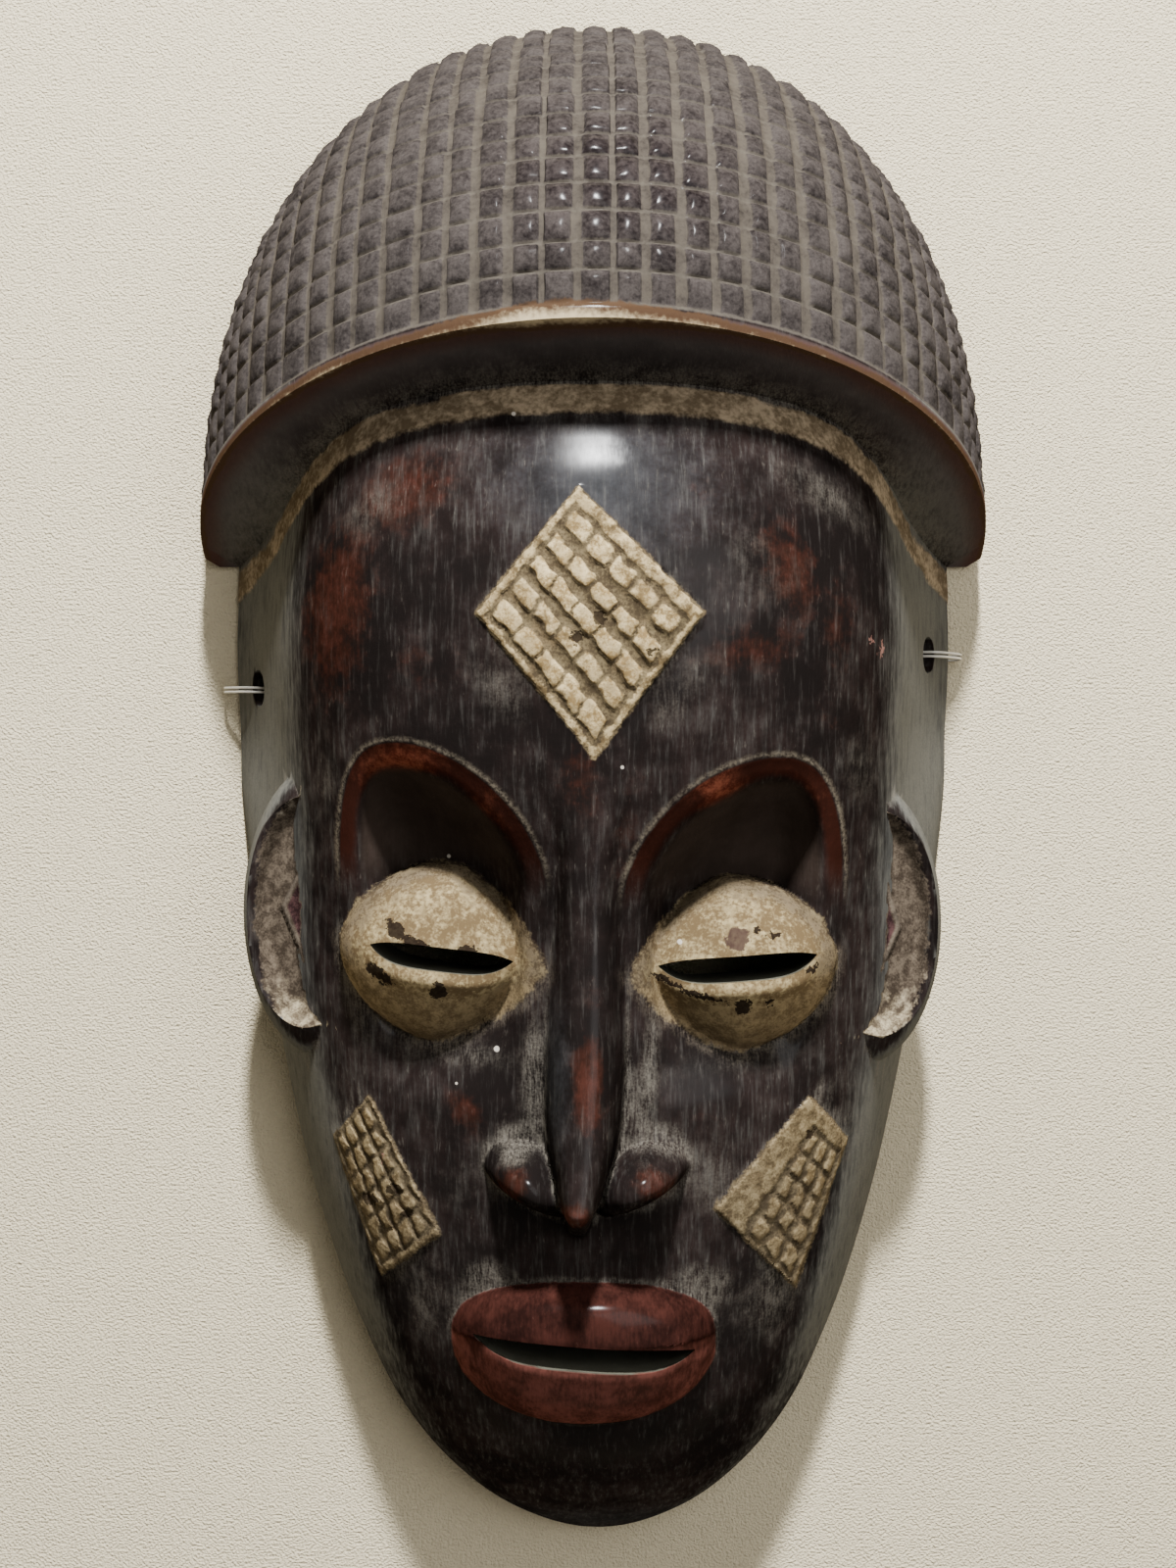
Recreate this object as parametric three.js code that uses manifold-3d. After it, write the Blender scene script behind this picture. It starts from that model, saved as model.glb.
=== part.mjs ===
// African mask: one carved block of dark wood, hollow behind, with a thin hanging line.
// Millimetres. The mask lies on its back: +Z comes out of the face, +Y runs to the top of the head.
// The origin is on the floor, under the middle of the mask.
import * as THREE from 'three';
import { mergeVertices } from 'three/addons/utils/BufferGeometryUtils.js';
import Module from 'manifold-3d';

const wasm = await Module();
wasm.setup();

const { clamp, lerp, smoothstep, degToRad } = THREE.MathUtils;

// Outline of the rim on the floor
const HEAD_END = 182.5;
const CHIN_END = -182.5;
const HAIR_HALF_WIDTH = 94.6;
const CHIN_DRIFT = 1.2;
const CHIN_DRIFT_START = -80;
const CHIN_DRIFT_POWER = 1.4;

// Below the first height a section of the face is a round cheek, and above the second a temple
const CHEEK_TOP_Y = -50;
const TEMPLE_FOOT_Y = 15;
const CHEEK_POWER = 2.15;
const LEAST_HALF_WIDTH = 0.01;

// The face runs on under the hair to here. Its plan has four sides: below this corner is the chin.
const FACE_TOP = 100;
const CHIN_CORNER = -118;

// How far a flat facet of the face may stand off the true surface, and how fine its grid is
const FACE_TOLERANCE = 0.9;
const FACE_CELLS = 128;
const FACE_APEX = [0, -20, -25];

// How far the lines of that grid crowd toward the sides and toward the chin
const SIDE_CROWDING = 0.55;
const CHIN_CROWDING = 1.15;

// Hair cap: the rim is half an ellipse that leans back as it rises
const RIM_FOOT_Y = 54.5;
const RIM_FOOT_Z = 6;
const RIM_LEAN = 40.3;
const RIM_RISE = 94;
const HAIR_BACK_CENTRE_Y = 61.5;
const HAIR_PLAN_POWER = 2.1;
const HAIR_PROFILE_POWER = 1.85;
const HAIR_TAPER = 0.08;
const HAIR_TAPER_POWER = 0.7;
const HAIR_CURVE_STEPS = 60;
const LEAST_BULGE = 0.003;
const HAIR_ROOT_DEPTH = 125;

// Carved blocks of the hair: columns evenly spaced round the rim, rows parallel to it
const HAIR_COLUMNS = 41;
const HAIR_ROW_PITCH = 7.2;
const HAIR_FRONT_ROWS = 14;
const HAIR_BACK_ROWS = 2;
const HAIR_BACK_PITCH = 25.5;
const HAIR_MARGIN = 3;
const HAIR_HALF_GROOVE = 0.9;
const HAIR_GROOVE_DEPTH = 1.5;
const RIM_LIP = 1.2;

// Hollow of the back
const HOLLOW_TOP_Y = 166;
const HOLLOW_CHIN_Y = -170;
const HOLLOW_ACROSS = 12;
const HOLLOW_ALONG = 14;
const HOLLOW_APEX_Z = -60;

// Rim bowed off the floor along the temples
const BOW_HEIGHT = 3;
const BOW_HALF_LENGTH = 45;
const BOW_CENTRE_Y = 27;
const BOW_SEGMENTS = 10;

// Cuts run well past the wood on every side
const CUT_REACH = 260;
const SLOT_FOOT_Z = -10;
const SLOT_LENGTH = 130;
const SLOT_SEGMENTS = 5;

// Side holes for the line
const HOLE_RADIUS = 4.4;
const HOLE_Z = 13;
const HOLE_TILT = degToRad(28);
const HOLE_REACH = 78;
const HOLE_LENGTH = 60;
const HOLE_SIDES = 12;

// Hanging line. It is wound twice round the rim through each side hole. The corners of one turn
// are given as distance from the middle of the mask and height over the floor, starting inside.
const LINE_DIAMETER = 0.6;
const LINE_STEPS = 44;
const LINE_SIDES = 8;
const LINE_TURN = [
  [70.6, 6.7], [76.5, 9.7], [82.4, 13.2], [86.8, 10.2], [89.9, 5.4],
  [89.3, 1.4], [83, 1.1], [76, 1.1], [71.8, 2.6],
];
const LINE_TURNS = 2;
const LINE_PITCH = 1;
const LINE_SLACK = [[-56, 19, 0.7], [-22, 14, 0.7], [20, 37, 0.7], [56, 35, 0.7]];
const KNOT_PLACE = [68.8, 6.1];
const KNOT_RADIUS = 1.3;

// The two halves of the face differ, because they were cut by hand
const LEFT = {
  side: -1,
  brow: { peak: [-41.9, 8.7], outer: 14.6, inner: 31.9, height: 31.3, outerRound: 2.9, innerRound: 1.7 },
  eye: { centre: [-33.3, -37.5], length: 46.5, height: 40, tilt: degToRad(-8) },
  slit: { from: [-48.6, -35.3], to: [-17.4, -39.1], rise: 1.2, sag: 3.4 },
  wing: { centre: [-14.4, -87.6], crest: 81 },
  ear: { top: 0.2, bottom: -59.5, reach: -81 },
  panel: {
    corners: [[-50.1, -70.1], [-59.5, -81], [-48.4, -112.5], [-33.8, -100.1]],
    count: [3, 5],
    margin: 0,
  },
  hole: 22.5,
};
const RIGHT = {
  side: 1,
  brow: { peak: [39.5, 5.5], outer: 16.1, inner: 33.6, height: 32.1, outerRound: 2.6, innerRound: 1.8 },
  eye: { centre: [30.9, -40.1], length: 46.5, height: 39, tilt: degToRad(4) },
  slit: { from: [14, -40.1], to: [48.8, -37.6], rise: 0.9, sag: 4 },
  wing: { centre: [10.8, -87.4], crest: 81 },
  ear: { top: -3.5, bottom: -61.3, reach: 80.6 },
  panel: {
    corners: [[47.9, -69.9], [26.6, -93.6], [45.7, -114.4], [58.2, -81.3]],
    count: [4, 3],
    margin: 0.19,
  },
  hole: 30.5,
};
const SIDES = [LEFT, RIGHT];

// Socket under a brow: the bevel of the brow first, then the deep hollow over the eye
const SOCKET_DEPTHS = [[0, 0], [1, 1.2], [5, 6.5], [9, 14], [15, 18.5], [40, 18.5]];
const BROW_SNAP = 0.9;
const BROW_STEP = 0.05;
const LEAST_STEEPNESS = 0.02;

// A socket runs out downward between these heights. At its outer end it stops higher up.
const SOCKET_FADE_Y = [-74, -26];
const SOCKET_OUTER_FADE_Y = [-34, -6];
const SOCKET_OUTER_FADE_WIDTH = 12;

// Eyes are flat-topped domes. The corner toward the nose is the more pointed one.
const EYE_FLOOR = 59;
const EYE_CREST = 74;
const EYE_DOME_POWER = 0.65;
const EYE_OUTER_POWER = 1.75;
const EYE_INNER_POWER = 1.4;
const EYE_POWER_CHANGE = 0.5;

// Nose
const NOSE_TOP_Y = 28;
const NOSE_TIP_Y = -91.5;
const NOSE_RIDGE_END_Y = -93;
const NOSE_UNDERSIDE_SLOPE = 2.6;
const NOSE_ROUNDING = 1.8;
const NOSE_SIDE_DROP = 17;
const NOSE_POWER = 1.7;
const NOSE_BLEND = 3;

// Wings of the nose
const WING_RADII = [7.4, 8.4];
const WING_DROP = 13;
const WING_POWER = 2.4;
const WING_EDGE = 4;

// Mouth: two lips round a slot with a straight upper edge
const LIPS = {
  centre: [-2.2, -124.3],
  halfLength: 29.4,
  upper: 14.8,
  lower: 18.8,
  upperPower: 2.6,
  lowerPower: 2.1,
  rise: 11.5,
  edgePower: 3.4,
  crownPower: 0.6,
  sink: 0.5,
};
const MOUTH_SLOT = { from: [-26.5, -120.9], to: [22.3, -124.3], rise: 0.6, sag: 5.4 };

// Eyes, lips and wings are domes of rings, each rooted in the wood behind it
const DOME_ROOT = 16;
const EYE_SEGMENTS = 20;
const EYE_RINGS = [0.4, 0.7, 0.88, 0.97, 1];
const LIP_SEGMENTS = 28;
const LIP_RINGS = [0.45, 0.7, 0.86, 0.95, 1];
const WING_SEGMENTS = 12;
const WING_RINGS = [0.45, 0.8, 1.05, 1.25];

// Lozenge panels of small raised blocks: corners counterclockwise from the top one, number of
// blocks along the first and last sides, and the width of a plain raised margin along the first
const FOREHEAD_PANEL = {
  corners: [[-3.2, 61.8], [-24.7, 35.2], [0.2, 4.6], [22.9, 35.2]],
  count: [5, 5],
  margin: 0,
};
const PANEL_PROUD = 1.5;
const PANEL_FLOOR = 0.35;
const PANEL_HALF_GROOVE = 0.65;
const PANEL_ROOT = 9;

// Ears: an outer shell, the cup cut into it and the leaf of wood left in the cup. Each is an
// ellipsoid whose middle lies inward of the ear's reach. The shell is as tall as the ear.
const EAR_SHELL = { inward: 17, z: 34, radii: [17, 14], around: 8, down: 8 };
const EAR_CUP = { inward: 15, z: 47, radii: [12.2, 15], around: 8, down: 6, wall: 4 };
const EAR_LEAF = { inward: 17, z: 41, radii: [6.5, 9], around: 6, down: 4, share: 0.45 };

// A smooth curve y(x) through the given points
function curveThrough(points) {
  const last = points.length - 1;
  const slope = points.map((_, i) => {
    const [x0, y0] = points[Math.max(i - 1, 0)];
    const [x1, y1] = points[Math.min(i + 1, last)];
    return (y1 - y0) / (x1 - x0);
  });
  return (x) => {
    const i = clamp(points.findIndex(([px]) => px > x) - 1, 0, last - 1);
    const k = x >= points[last][0] ? last - 1 : i;
    const [x0, y0] = points[k];
    const [x1, y1] = points[k + 1];
    const span = x1 - x0;
    const t = clamp((x - x0) / span, 0, 1);
    const rise = (2 * t * t * t - 3 * t * t + 1) * y0 + (3 * t * t - 2 * t * t * t) * y1;
    const bend = (t * t * t - 2 * t * t + t) * slope[k] + (t * t * t - t * t) * slope[k + 1];
    return rise + bend * span;
  };
}

// The same for a curve that meets zero square on, as the end of a dome does
function domeThrough(points) {
  const squares = curveThrough(points.map(([x, y]) => [x, y * y]));
  return (x) => Math.sqrt(Math.max(squares(x), 0));
}

function smoothMax(a, b, reach) {
  const h = clamp(0.5 + (0.5 * (a - b)) / reach, 0, 1);
  return lerp(b, a, h) + reach * h * (1 - h);
}

// Bare dome of the face: half width on the floor, height of the crown, and shape of a section
const faceHalfWidth = domeThrough([
  [CHIN_END, 0], [-180, 13.5], [-175, 23.6], [-168, 32.5], [-158, 41.8], [-147, 49.2], [-135, 55],
  [-118, 61.8], [-91, 69.8], [-60, 76.4], [-20, 84.2], [28, 88.9], [60, 87], [FACE_TOP, 82],
]);
const crownHeight = domeThrough([
  [CHIN_END, 0], [-176, 18], [-165, 35.5], [-150, 51], [-135, 59.5], [-110, 65.5], [-90, 69],
  [-60, 72.5], [-30, 76], [-5, 85], [20, 90], [40, 91.5], [62, 88.5], [75, 83.5], [85, 78], [FACE_TOP, 70],
]);
const templeSection = curveThrough([
  [0, 1], [0.25, 0.978], [0.46, 0.9], [0.62, 0.77], [0.724, 0.604],
  [0.793, 0.44], [0.85, 0.285], [0.92, 0.132], [1, 0],
]);
const cheekSection = (part) => Math.sqrt(Math.max(1 - part ** CHEEK_POWER, 0));

function chinShift(y) {
  const part = clamp((CHIN_DRIFT_START - y) / (CHIN_DRIFT_START - CHIN_END), 0, 1);
  return CHIN_DRIFT * part ** CHIN_DRIFT_POWER;
}

function sectionShape(part, y) {
  const inside = clamp(part, 0, 1);
  return lerp(cheekSection(inside), templeSection(inside), smoothstep(y, CHEEK_TOP_Y, TEMPLE_FOOT_Y));
}

function bareSkin(x, y) {
  const part = Math.abs(x - chinShift(y)) / Math.max(faceHalfWidth(y), LEAST_HALF_WIDTH);
  return crownHeight(y) * sectionShape(part, y);
}

// How far a point lies inside the arch of a brow, measured from its edge
function browReach(x, y, side, brow) {
  const dx = x - brow.peak[0];
  const inward = dx * side < 0;
  const across = inward ? brow.inner : brow.outer;
  const power = inward ? brow.innerRound : brow.outerRound;
  const up = Math.max(0, y - (brow.peak[1] - brow.height)) / brow.height;
  return (Math.abs(dx / across) ** power + up ** power) ** (1 / power);
}

// Distance of a point under the brow's edge, and the direction in which it grows
function underBrow(x, y, { side, brow }) {
  const reach = browReach(x, y, side, brow);
  const gx = (browReach(x + BROW_STEP, y, side, brow) - reach) / BROW_STEP;
  const gy = (browReach(x, y + BROW_STEP, side, brow) - reach) / BROW_STEP;
  const steepness = Math.max(Math.hypot(gx, gy), LEAST_STEEPNESS);
  return { depth: (1 - reach) / steepness, direction: [-gx / steepness, -gy / steepness] };
}

// Moves a point that is nearly on the edge of a brow onto it, so that the edge is cut sharp
function snapToBrow([x, y]) {
  for (const half of SIDES) {
    const { depth, direction } = underBrow(x, y, half);
    const low = half.brow.peak[1] - half.brow.height;
    if (Math.abs(depth) < BROW_SNAP && y > low) return [x - depth * direction[0], y - depth * direction[1]];
  }
  return [x, y];
}

const socketDrop = curveThrough(SOCKET_DEPTHS);

function socket(x, y, half) {
  const { depth } = underBrow(x, y, half);
  if (depth <= 0) return 0;
  const outward = (x - half.brow.peak[0]) * half.side;
  const atOuterEnd = smoothstep(outward, 0, SOCKET_OUTER_FADE_WIDTH);
  const outerFade = lerp(1, smoothstep(y, ...SOCKET_OUTER_FADE_Y), atOuterEnd);
  return socketDrop(depth) * smoothstep(y, ...SOCKET_FADE_Y) * outerFade;
}

// A point of an eye's plan: reach is 0 in its middle and 1 on its outline
function eyePlan(reach, turn, { side, eye }) {
  const [along, across] = [Math.cos(turn), Math.sin(turn)];
  const outer = smoothstep(along * side, -EYE_POWER_CHANGE, EYE_POWER_CHANGE);
  const power = lerp(EYE_INNER_POWER, EYE_OUTER_POWER, outer);
  const scale = reach / (Math.abs(along) ** power + Math.abs(across) ** power) ** (1 / power);
  const [a, b] = [(along * scale * eye.length) / 2, (across * scale * eye.height) / 2];
  const [c, s] = [Math.cos(eye.tilt), Math.sin(eye.tilt)];
  return [eye.centre[0] + a * c - b * s, eye.centre[1] + a * s + b * c];
}

function makeEye(half) {
  const place = (reach, turn) => {
    const [x, y] = eyePlan(reach, turn, half);
    const rise = (EYE_CREST - EYE_FLOOR) * (1 - reach ** 2) ** EYE_DOME_POWER;
    return new THREE.Vector3(x, y, EYE_FLOOR + rise);
  };
  return domeSolid(place, EYE_SEGMENTS, EYE_RINGS);
}

const noseRidge = curveThrough([
  [-93, 95.5], [-80, 92.3], [-60, 88.3], [-40, 86.2], [-18, 86.3], [10, 88.5], [30, 89],
]);
const noseHalfWidth = curveThrough([
  [-93, 8], [-80, 9.8], [-60, 10.2], [-45, 9.6], [-24, 8.3], [-12, 9.8], [5, 20], [30, 30],
]);
const noseCentre = curveThrough([[-93, -3.2], [-60, -1.8], [10, -0.8]]);

// Past a rounded edge at y = edge, the underside falls away from a top surface
function undersideFrom(top, y, edge) {
  const past = Math.max(edge + NOSE_ROUNDING - y, 0);
  const turned = 2 * NOSE_ROUNDING;
  const run = past < turned ? past ** 2 / (2 * turned) : past - NOSE_ROUNDING;
  return top - NOSE_UNDERSIDE_SLOPE * run;
}

function nose(x, y) {
  if (y > NOSE_TOP_Y) return 0;
  const reach = Math.abs(x - noseCentre(y)) / noseHalfWidth(y);
  const front = noseRidge(Math.max(y, NOSE_RIDGE_END_Y)) - NOSE_SIDE_DROP * reach ** NOSE_POWER;
  return undersideFrom(front, y, NOSE_TIP_Y);
}

function makeNoseWing({ wing }) {
  const place = (reach, turn) => {
    const x = wing.centre[0] + WING_RADII[0] * reach * Math.cos(turn);
    const y = wing.centre[1] + WING_RADII[1] * reach * Math.sin(turn);
    const top = wing.crest - WING_DROP * reach ** WING_POWER;
    return new THREE.Vector3(x, y, undersideFrom(top, y, wing.centre[1] - WING_EDGE));
  };
  return domeSolid(place, WING_SEGMENTS, WING_RINGS);
}

// The lips stand on the skin round the mouth
function makeLips() {
  const [cx, cy] = LIPS.centre;
  const place = (reach, turn) => {
    const [along, across] = [Math.cos(turn), Math.sin(turn)];
    const upper = across > 0;
    const power = upper ? LIPS.upperPower : LIPS.lowerPower;
    const scale = reach / (Math.abs(along) ** power + Math.abs(across) ** power) ** (1 / power);
    const x = cx + LIPS.halfLength * along * scale;
    const y = cy + (upper ? LIPS.upper : LIPS.lower) * across * scale;
    const rise = LIPS.rise * (1 - reach ** LIPS.edgePower) ** LIPS.crownPower;
    return new THREE.Vector3(x, y, bareSkin(x, y) + rise - LIPS.sink);
  };
  return domeSolid(place, LIP_SEGMENTS, LIP_RINGS);
}

// Height of the face over the floor, with the sockets and the nose but without what stands on it
function faceHeight(x, y) {
  let z = bareSkin(x, y);
  for (const half of SIDES) z -= socket(x, y, half);
  z = smoothMax(z, nose(x, y), NOSE_BLEND);
  return Math.max(z, 0);
}

// A grid of points place(u, v), with small triangles only where the surface bends.
// Each triangle is halved while the middle of its long side is off the true surface.
function adaptivePatch(place, cells, tolerance) {
  const side = cells + 1;
  const points = [];
  for (let j = 0; j <= cells; j += 1) {
    for (let i = 0; i <= cells; i += 1) points.push(place(i / cells, j / cells));
  }
  const at = (i, j) => points[j * side + i];
  const errors = new Float64Array(side * side);
  const middle = new THREE.Vector3();
  const errorAt = (i, j) => (i < 0 || j < 0 || i > cells || j > cells ? 0 : errors[j * side + i]);
  const measure = (i, j, di, dj, childStep, diagonalChildren) => {
    middle.addVectors(at(i - di, j - dj), at(i + di, j + dj)).multiplyScalar(0.5);
    let error = middle.distanceTo(at(i, j));
    for (const a of [-childStep, childStep]) {
      for (const b of [-childStep, childStep]) {
        const [ci, cj] = diagonalChildren ? [i + a, j + b] : [i + (a + b) / 2, j + (a - b) / 2];
        error = Math.max(error, errorAt(ci, cj));
      }
    }
    errors[j * side + i] = error;
  };
  for (let step = 1; step < cells; step *= 2) {
    const childStep = step > 1 ? step / 2 : 0;
    for (let j = 0; j <= cells; j += step) {
      for (let i = 0; i <= cells; i += step) {
        const oddI = (i / step) % 2 === 1;
        const oddJ = (j / step) % 2 === 1;
        if (oddI && !oddJ) measure(i, j, step, 0, childStep, true);
        if (oddJ && !oddI) measure(i, j, 0, step, childStep, true);
      }
    }
    for (let j = step; j <= cells; j += 2 * step) {
      for (let i = step; i <= cells; i += 2 * step) {
        const alike = ((i - step) / (2 * step) + (j - step) / (2 * step)) % 2 === 0;
        measure(i, j, step, alike ? step : -step, step, false);
      }
    }
  }
  const triangles = [];
  const split = (a, b, c) => {
    const mi = (a[0] + b[0]) / 2;
    const mj = (a[1] + b[1]) / 2;
    const big = Math.abs(a[0] - c[0]) + Math.abs(a[1] - c[1]) > 1;
    if (big && errorAt(mi, mj) > tolerance) {
      split(c, a, [mi, mj]);
      split(b, c, [mi, mj]);
    } else {
      triangles.push([a, c, b].map(([i, j]) => j * side + i));
    }
  };
  split([0, 0], [cells, cells], [cells, 0]);
  split([cells, cells], [0, 0], [0, cells]);
  const used = new Set(triangles.flat());
  const border = [];
  for (let i = 0; i < cells; i += 1) border.push(i);
  for (let j = 0; j < cells; j += 1) border.push(j * side + cells);
  for (let i = cells; i > 0; i -= 1) border.push(cells * side + i);
  for (let j = cells; j > 0; j -= 1) border.push(j * side);
  return { points, triangles, border: border.filter((index) => used.has(index)) };
}

// A closed solid from lists of points and of faces with their corners counterclockwise from outside
function solidFrom(points, triangles) {
  const geometry = new THREE.BufferGeometry();
  geometry.setAttribute('position', new THREE.Float32BufferAttribute(points.flatMap((p) => p.toArray()), 3));
  geometry.setIndex(triangles.flat());
  return solidOf(geometry);
}

function solidOf(geometry) {
  const plain = geometry.clone();
  plain.deleteAttribute('normal');
  plain.deleteAttribute('uv');
  const merged = mergeVertices(plain, 1e-4);
  const vertProperties = Float32Array.from(merged.attributes.position.array);
  const triVerts = Uint32Array.from(merged.index.array);
  return new wasm.Manifold(new wasm.Mesh({ numProp: 3, vertProperties, triVerts }));
}

// Closes a patch to a single point behind it
function closeToPoint(patch, apex) {
  const points = [...patch.points, apex];
  const last = points.length - 1;
  const { border } = patch;
  const fan = border.map((index, k) => [border[(k + 1) % border.length], index, last]);
  return solidFrom(points, [...patch.triangles, ...fan]);
}

// A closed dome: rings of points round a middle one, then a straight wall down into the wood
function domeSolid(place, around, rings) {
  const points = [place(0, 0)];
  const triangles = [];
  const down = new THREE.Vector3(0, 0, -DOME_ROOT);
  [...rings, rings.at(-1)].forEach((reach, r) => {
    const outer = (k) => 1 + r * around + (k % around);
    const inner = (k) => (r === 0 ? 0 : outer(k) - around);
    for (let k = 0; k < around; k += 1) {
      const point = place(reach, (2 * Math.PI * k) / around);
      points.push(r === rings.length ? point.add(down) : point);
      triangles.push([inner(k), outer(k), outer(k + 1)]);
      if (r > 0) triangles.push([inner(k), outer(k + 1), inner(k + 1)]);
    }
  });
  const border = Array.from({ length: around }, (_, k) => points.length - around + k);
  const middle = points.slice(-around).reduce((sum, point) => sum.add(point), new THREE.Vector3());
  return closeToPoint({ points, triangles, border }, middle.divideScalar(around));
}

// Plan of the face: two long sides, the top under the hair, and the chin as a fourth side
function spread(t) {
  return lerp(t, (1 - Math.cos(Math.PI * t)) / 2, SIDE_CROWDING);
}

function planPoint(u, v) {
  const edge = (y, side) => [chinShift(y) + side * faceHalfWidth(y), y];
  const long = (t, side) => edge(lerp(CHIN_CORNER, FACE_TOP, t), side);
  const chin = (t) => edge(CHIN_CORNER + (CHIN_END - CHIN_CORNER) * Math.sin(Math.PI * t), t < 0.5 ? -1 : 1);
  const top = (t) => [lerp(-1, 1, t) * faceHalfWidth(FACE_TOP), FACE_TOP];
  const blend = (k) => {
    const sides = lerp(long(v, -1)[k], long(v, 1)[k], u);
    const ends = lerp(chin(u)[k], top(u)[k], v);
    const corners = lerp(lerp(chin(0)[k], chin(1)[k], u), lerp(top(0)[k], top(1)[k], u), v);
    return sides + ends - corners;
  };
  return [blend(0), blend(1)];
}

function facePoint(u, v) {
  const [x, y] = snapToBrow(planPoint(spread(u), v ** CHIN_CROWDING));
  const onRim = u === 0 || u === 1 || v === 0;
  return new THREE.Vector3(x, y, onRim ? 0 : faceHeight(x, y));
}

function makeFace() {
  const patch = adaptivePatch(facePoint, FACE_CELLS, FACE_TOLERANCE);
  return closeToPoint(patch, new THREE.Vector3(...FACE_APEX));
}

// Hair cap: the curve from the rim to the floor behind it, for each angle round the rim
function hairCurve(angle) {
  const rim = new THREE.Vector3(
    HAIR_HALF_WIDTH * Math.sin(angle),
    RIM_FOOT_Y + RIM_LEAN * Math.cos(angle),
    RIM_FOOT_Z + RIM_RISE * Math.cos(angle),
  );
  const backX = rim.x * (1 - HAIR_TAPER * Math.cos(angle));
  const part = 1 - Math.abs(backX / HAIR_HALF_WIDTH) ** HAIR_PLAN_POWER;
  const bulge = Math.max(part, LEAST_BULGE) ** (1 / HAIR_PLAN_POWER);
  const backY = lerp(HAIR_BACK_CENTRE_Y, HEAD_END, bulge);
  const steps = HAIR_CURVE_STEPS;
  const power = 2 / HAIR_PROFILE_POWER;
  const points = [];
  for (let i = 0; i <= steps; i += 1) {
    const t = (i / steps) * (Math.PI / 2);
    const y = rim.y + (backY - rim.y) * Math.sin(t) ** power;
    const z = i === steps ? 0 : rim.z * Math.cos(t) ** power;
    const x = lerp(backX, rim.x, (z / rim.z) ** HAIR_TAPER_POWER);
    points.push(new THREE.Vector3(x, y, z));
  }
  const lengths = [0];
  for (let i = 1; i <= steps; i += 1) lengths.push(lengths[i - 1] + points[i].distanceTo(points[i - 1]));
  return { points, lengths };
}

const hairCurves = new Map();

function hairAxisPoint(angle, distance) {
  const key = angle.toFixed(6);
  if (!hairCurves.has(key)) hairCurves.set(key, hairCurve(angle));
  const { points, lengths } = hairCurves.get(key);
  const last = points.length - 1;
  if (distance >= lengths[last]) {
    const foot = points[last].clone();
    foot.z -= distance - lengths[last];
    return foot;
  }
  const next = lengths.findIndex((length) => length > distance);
  const t = (distance - lengths[next - 1]) / (lengths[next] - lengths[next - 1]);
  return points[next - 1].clone().lerp(points[next], t);
}

// Point of the hair, raised by lift along the surface's own normal
function hairPoint(angle, distance, lift) {
  const point = hairAxisPoint(angle, distance);
  if (lift === 0) return point;
  const turn = 0.01;
  const step = 0.5;
  const limit = Math.PI / 2;
  const a = hairAxisPoint(Math.min(angle + turn, limit), distance);
  const b = hairAxisPoint(Math.max(angle - turn, -limit), distance);
  const d = hairAxisPoint(angle, distance + step);
  const c = hairAxisPoint(angle, Math.max(distance - step, 0));
  const normal = a.sub(b).cross(d.sub(c)).normalize();
  return point.addScaledVector(normal, lift);
}

// Raised blocks between V grooves over a curved surface place(s, t, lift). The lines are groove
// centres. One point a crossing and the two ends of a short ridge on each block carry the shape.
// The first plainRows rows are one unbroken ridge each.
function blockQuilt(place, sLines, tLines, halfGroove, depth, plainRows) {
  const points = [];
  const triangles = [];
  const add = (point) => points.push(point) - 1;
  const crossing = sLines.map((s) => tLines.map((t) => add(place(s, t, -depth))));
  for (let i = 0; i + 1 < sLines.length; i += 1) {
    for (let j = 0; j + 1 < tLines.length; j += 1) {
      const middle = (tLines[j] + tLines[j + 1]) / 2;
      const plain = j < plainRows;
      const near = add(place(sLines[i] + (plain && i > 0 ? 0 : halfGroove), middle, 0));
      const far = add(place(sLines[i + 1] - (plain && i + 2 < sLines.length ? 0 : halfGroove), middle, 0));
      const [a, b] = [crossing[i][j], crossing[i + 1][j]];
      const [c, d] = [crossing[i + 1][j + 1], crossing[i][j + 1]];
      triangles.push([a, b, far], [a, far, near], [c, d, near], [c, near, far]);
      if (!plain || i === 0) triangles.push([d, a, near]);
      if (!plain || i + 2 === sLines.length) triangles.push([b, c, far]);
    }
  }
  const lastS = sLines.length - 1;
  const lastT = tLines.length - 1;
  const border = [
    ...crossing.slice(0, lastS).map((column) => column[0]),
    ...crossing[lastS].slice(0, lastT),
    ...crossing.slice(1).reverse().map((column) => column[lastT]),
    ...crossing[0].slice(1).reverse(),
  ];
  return { points, triangles, border, crossing };
}

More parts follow.
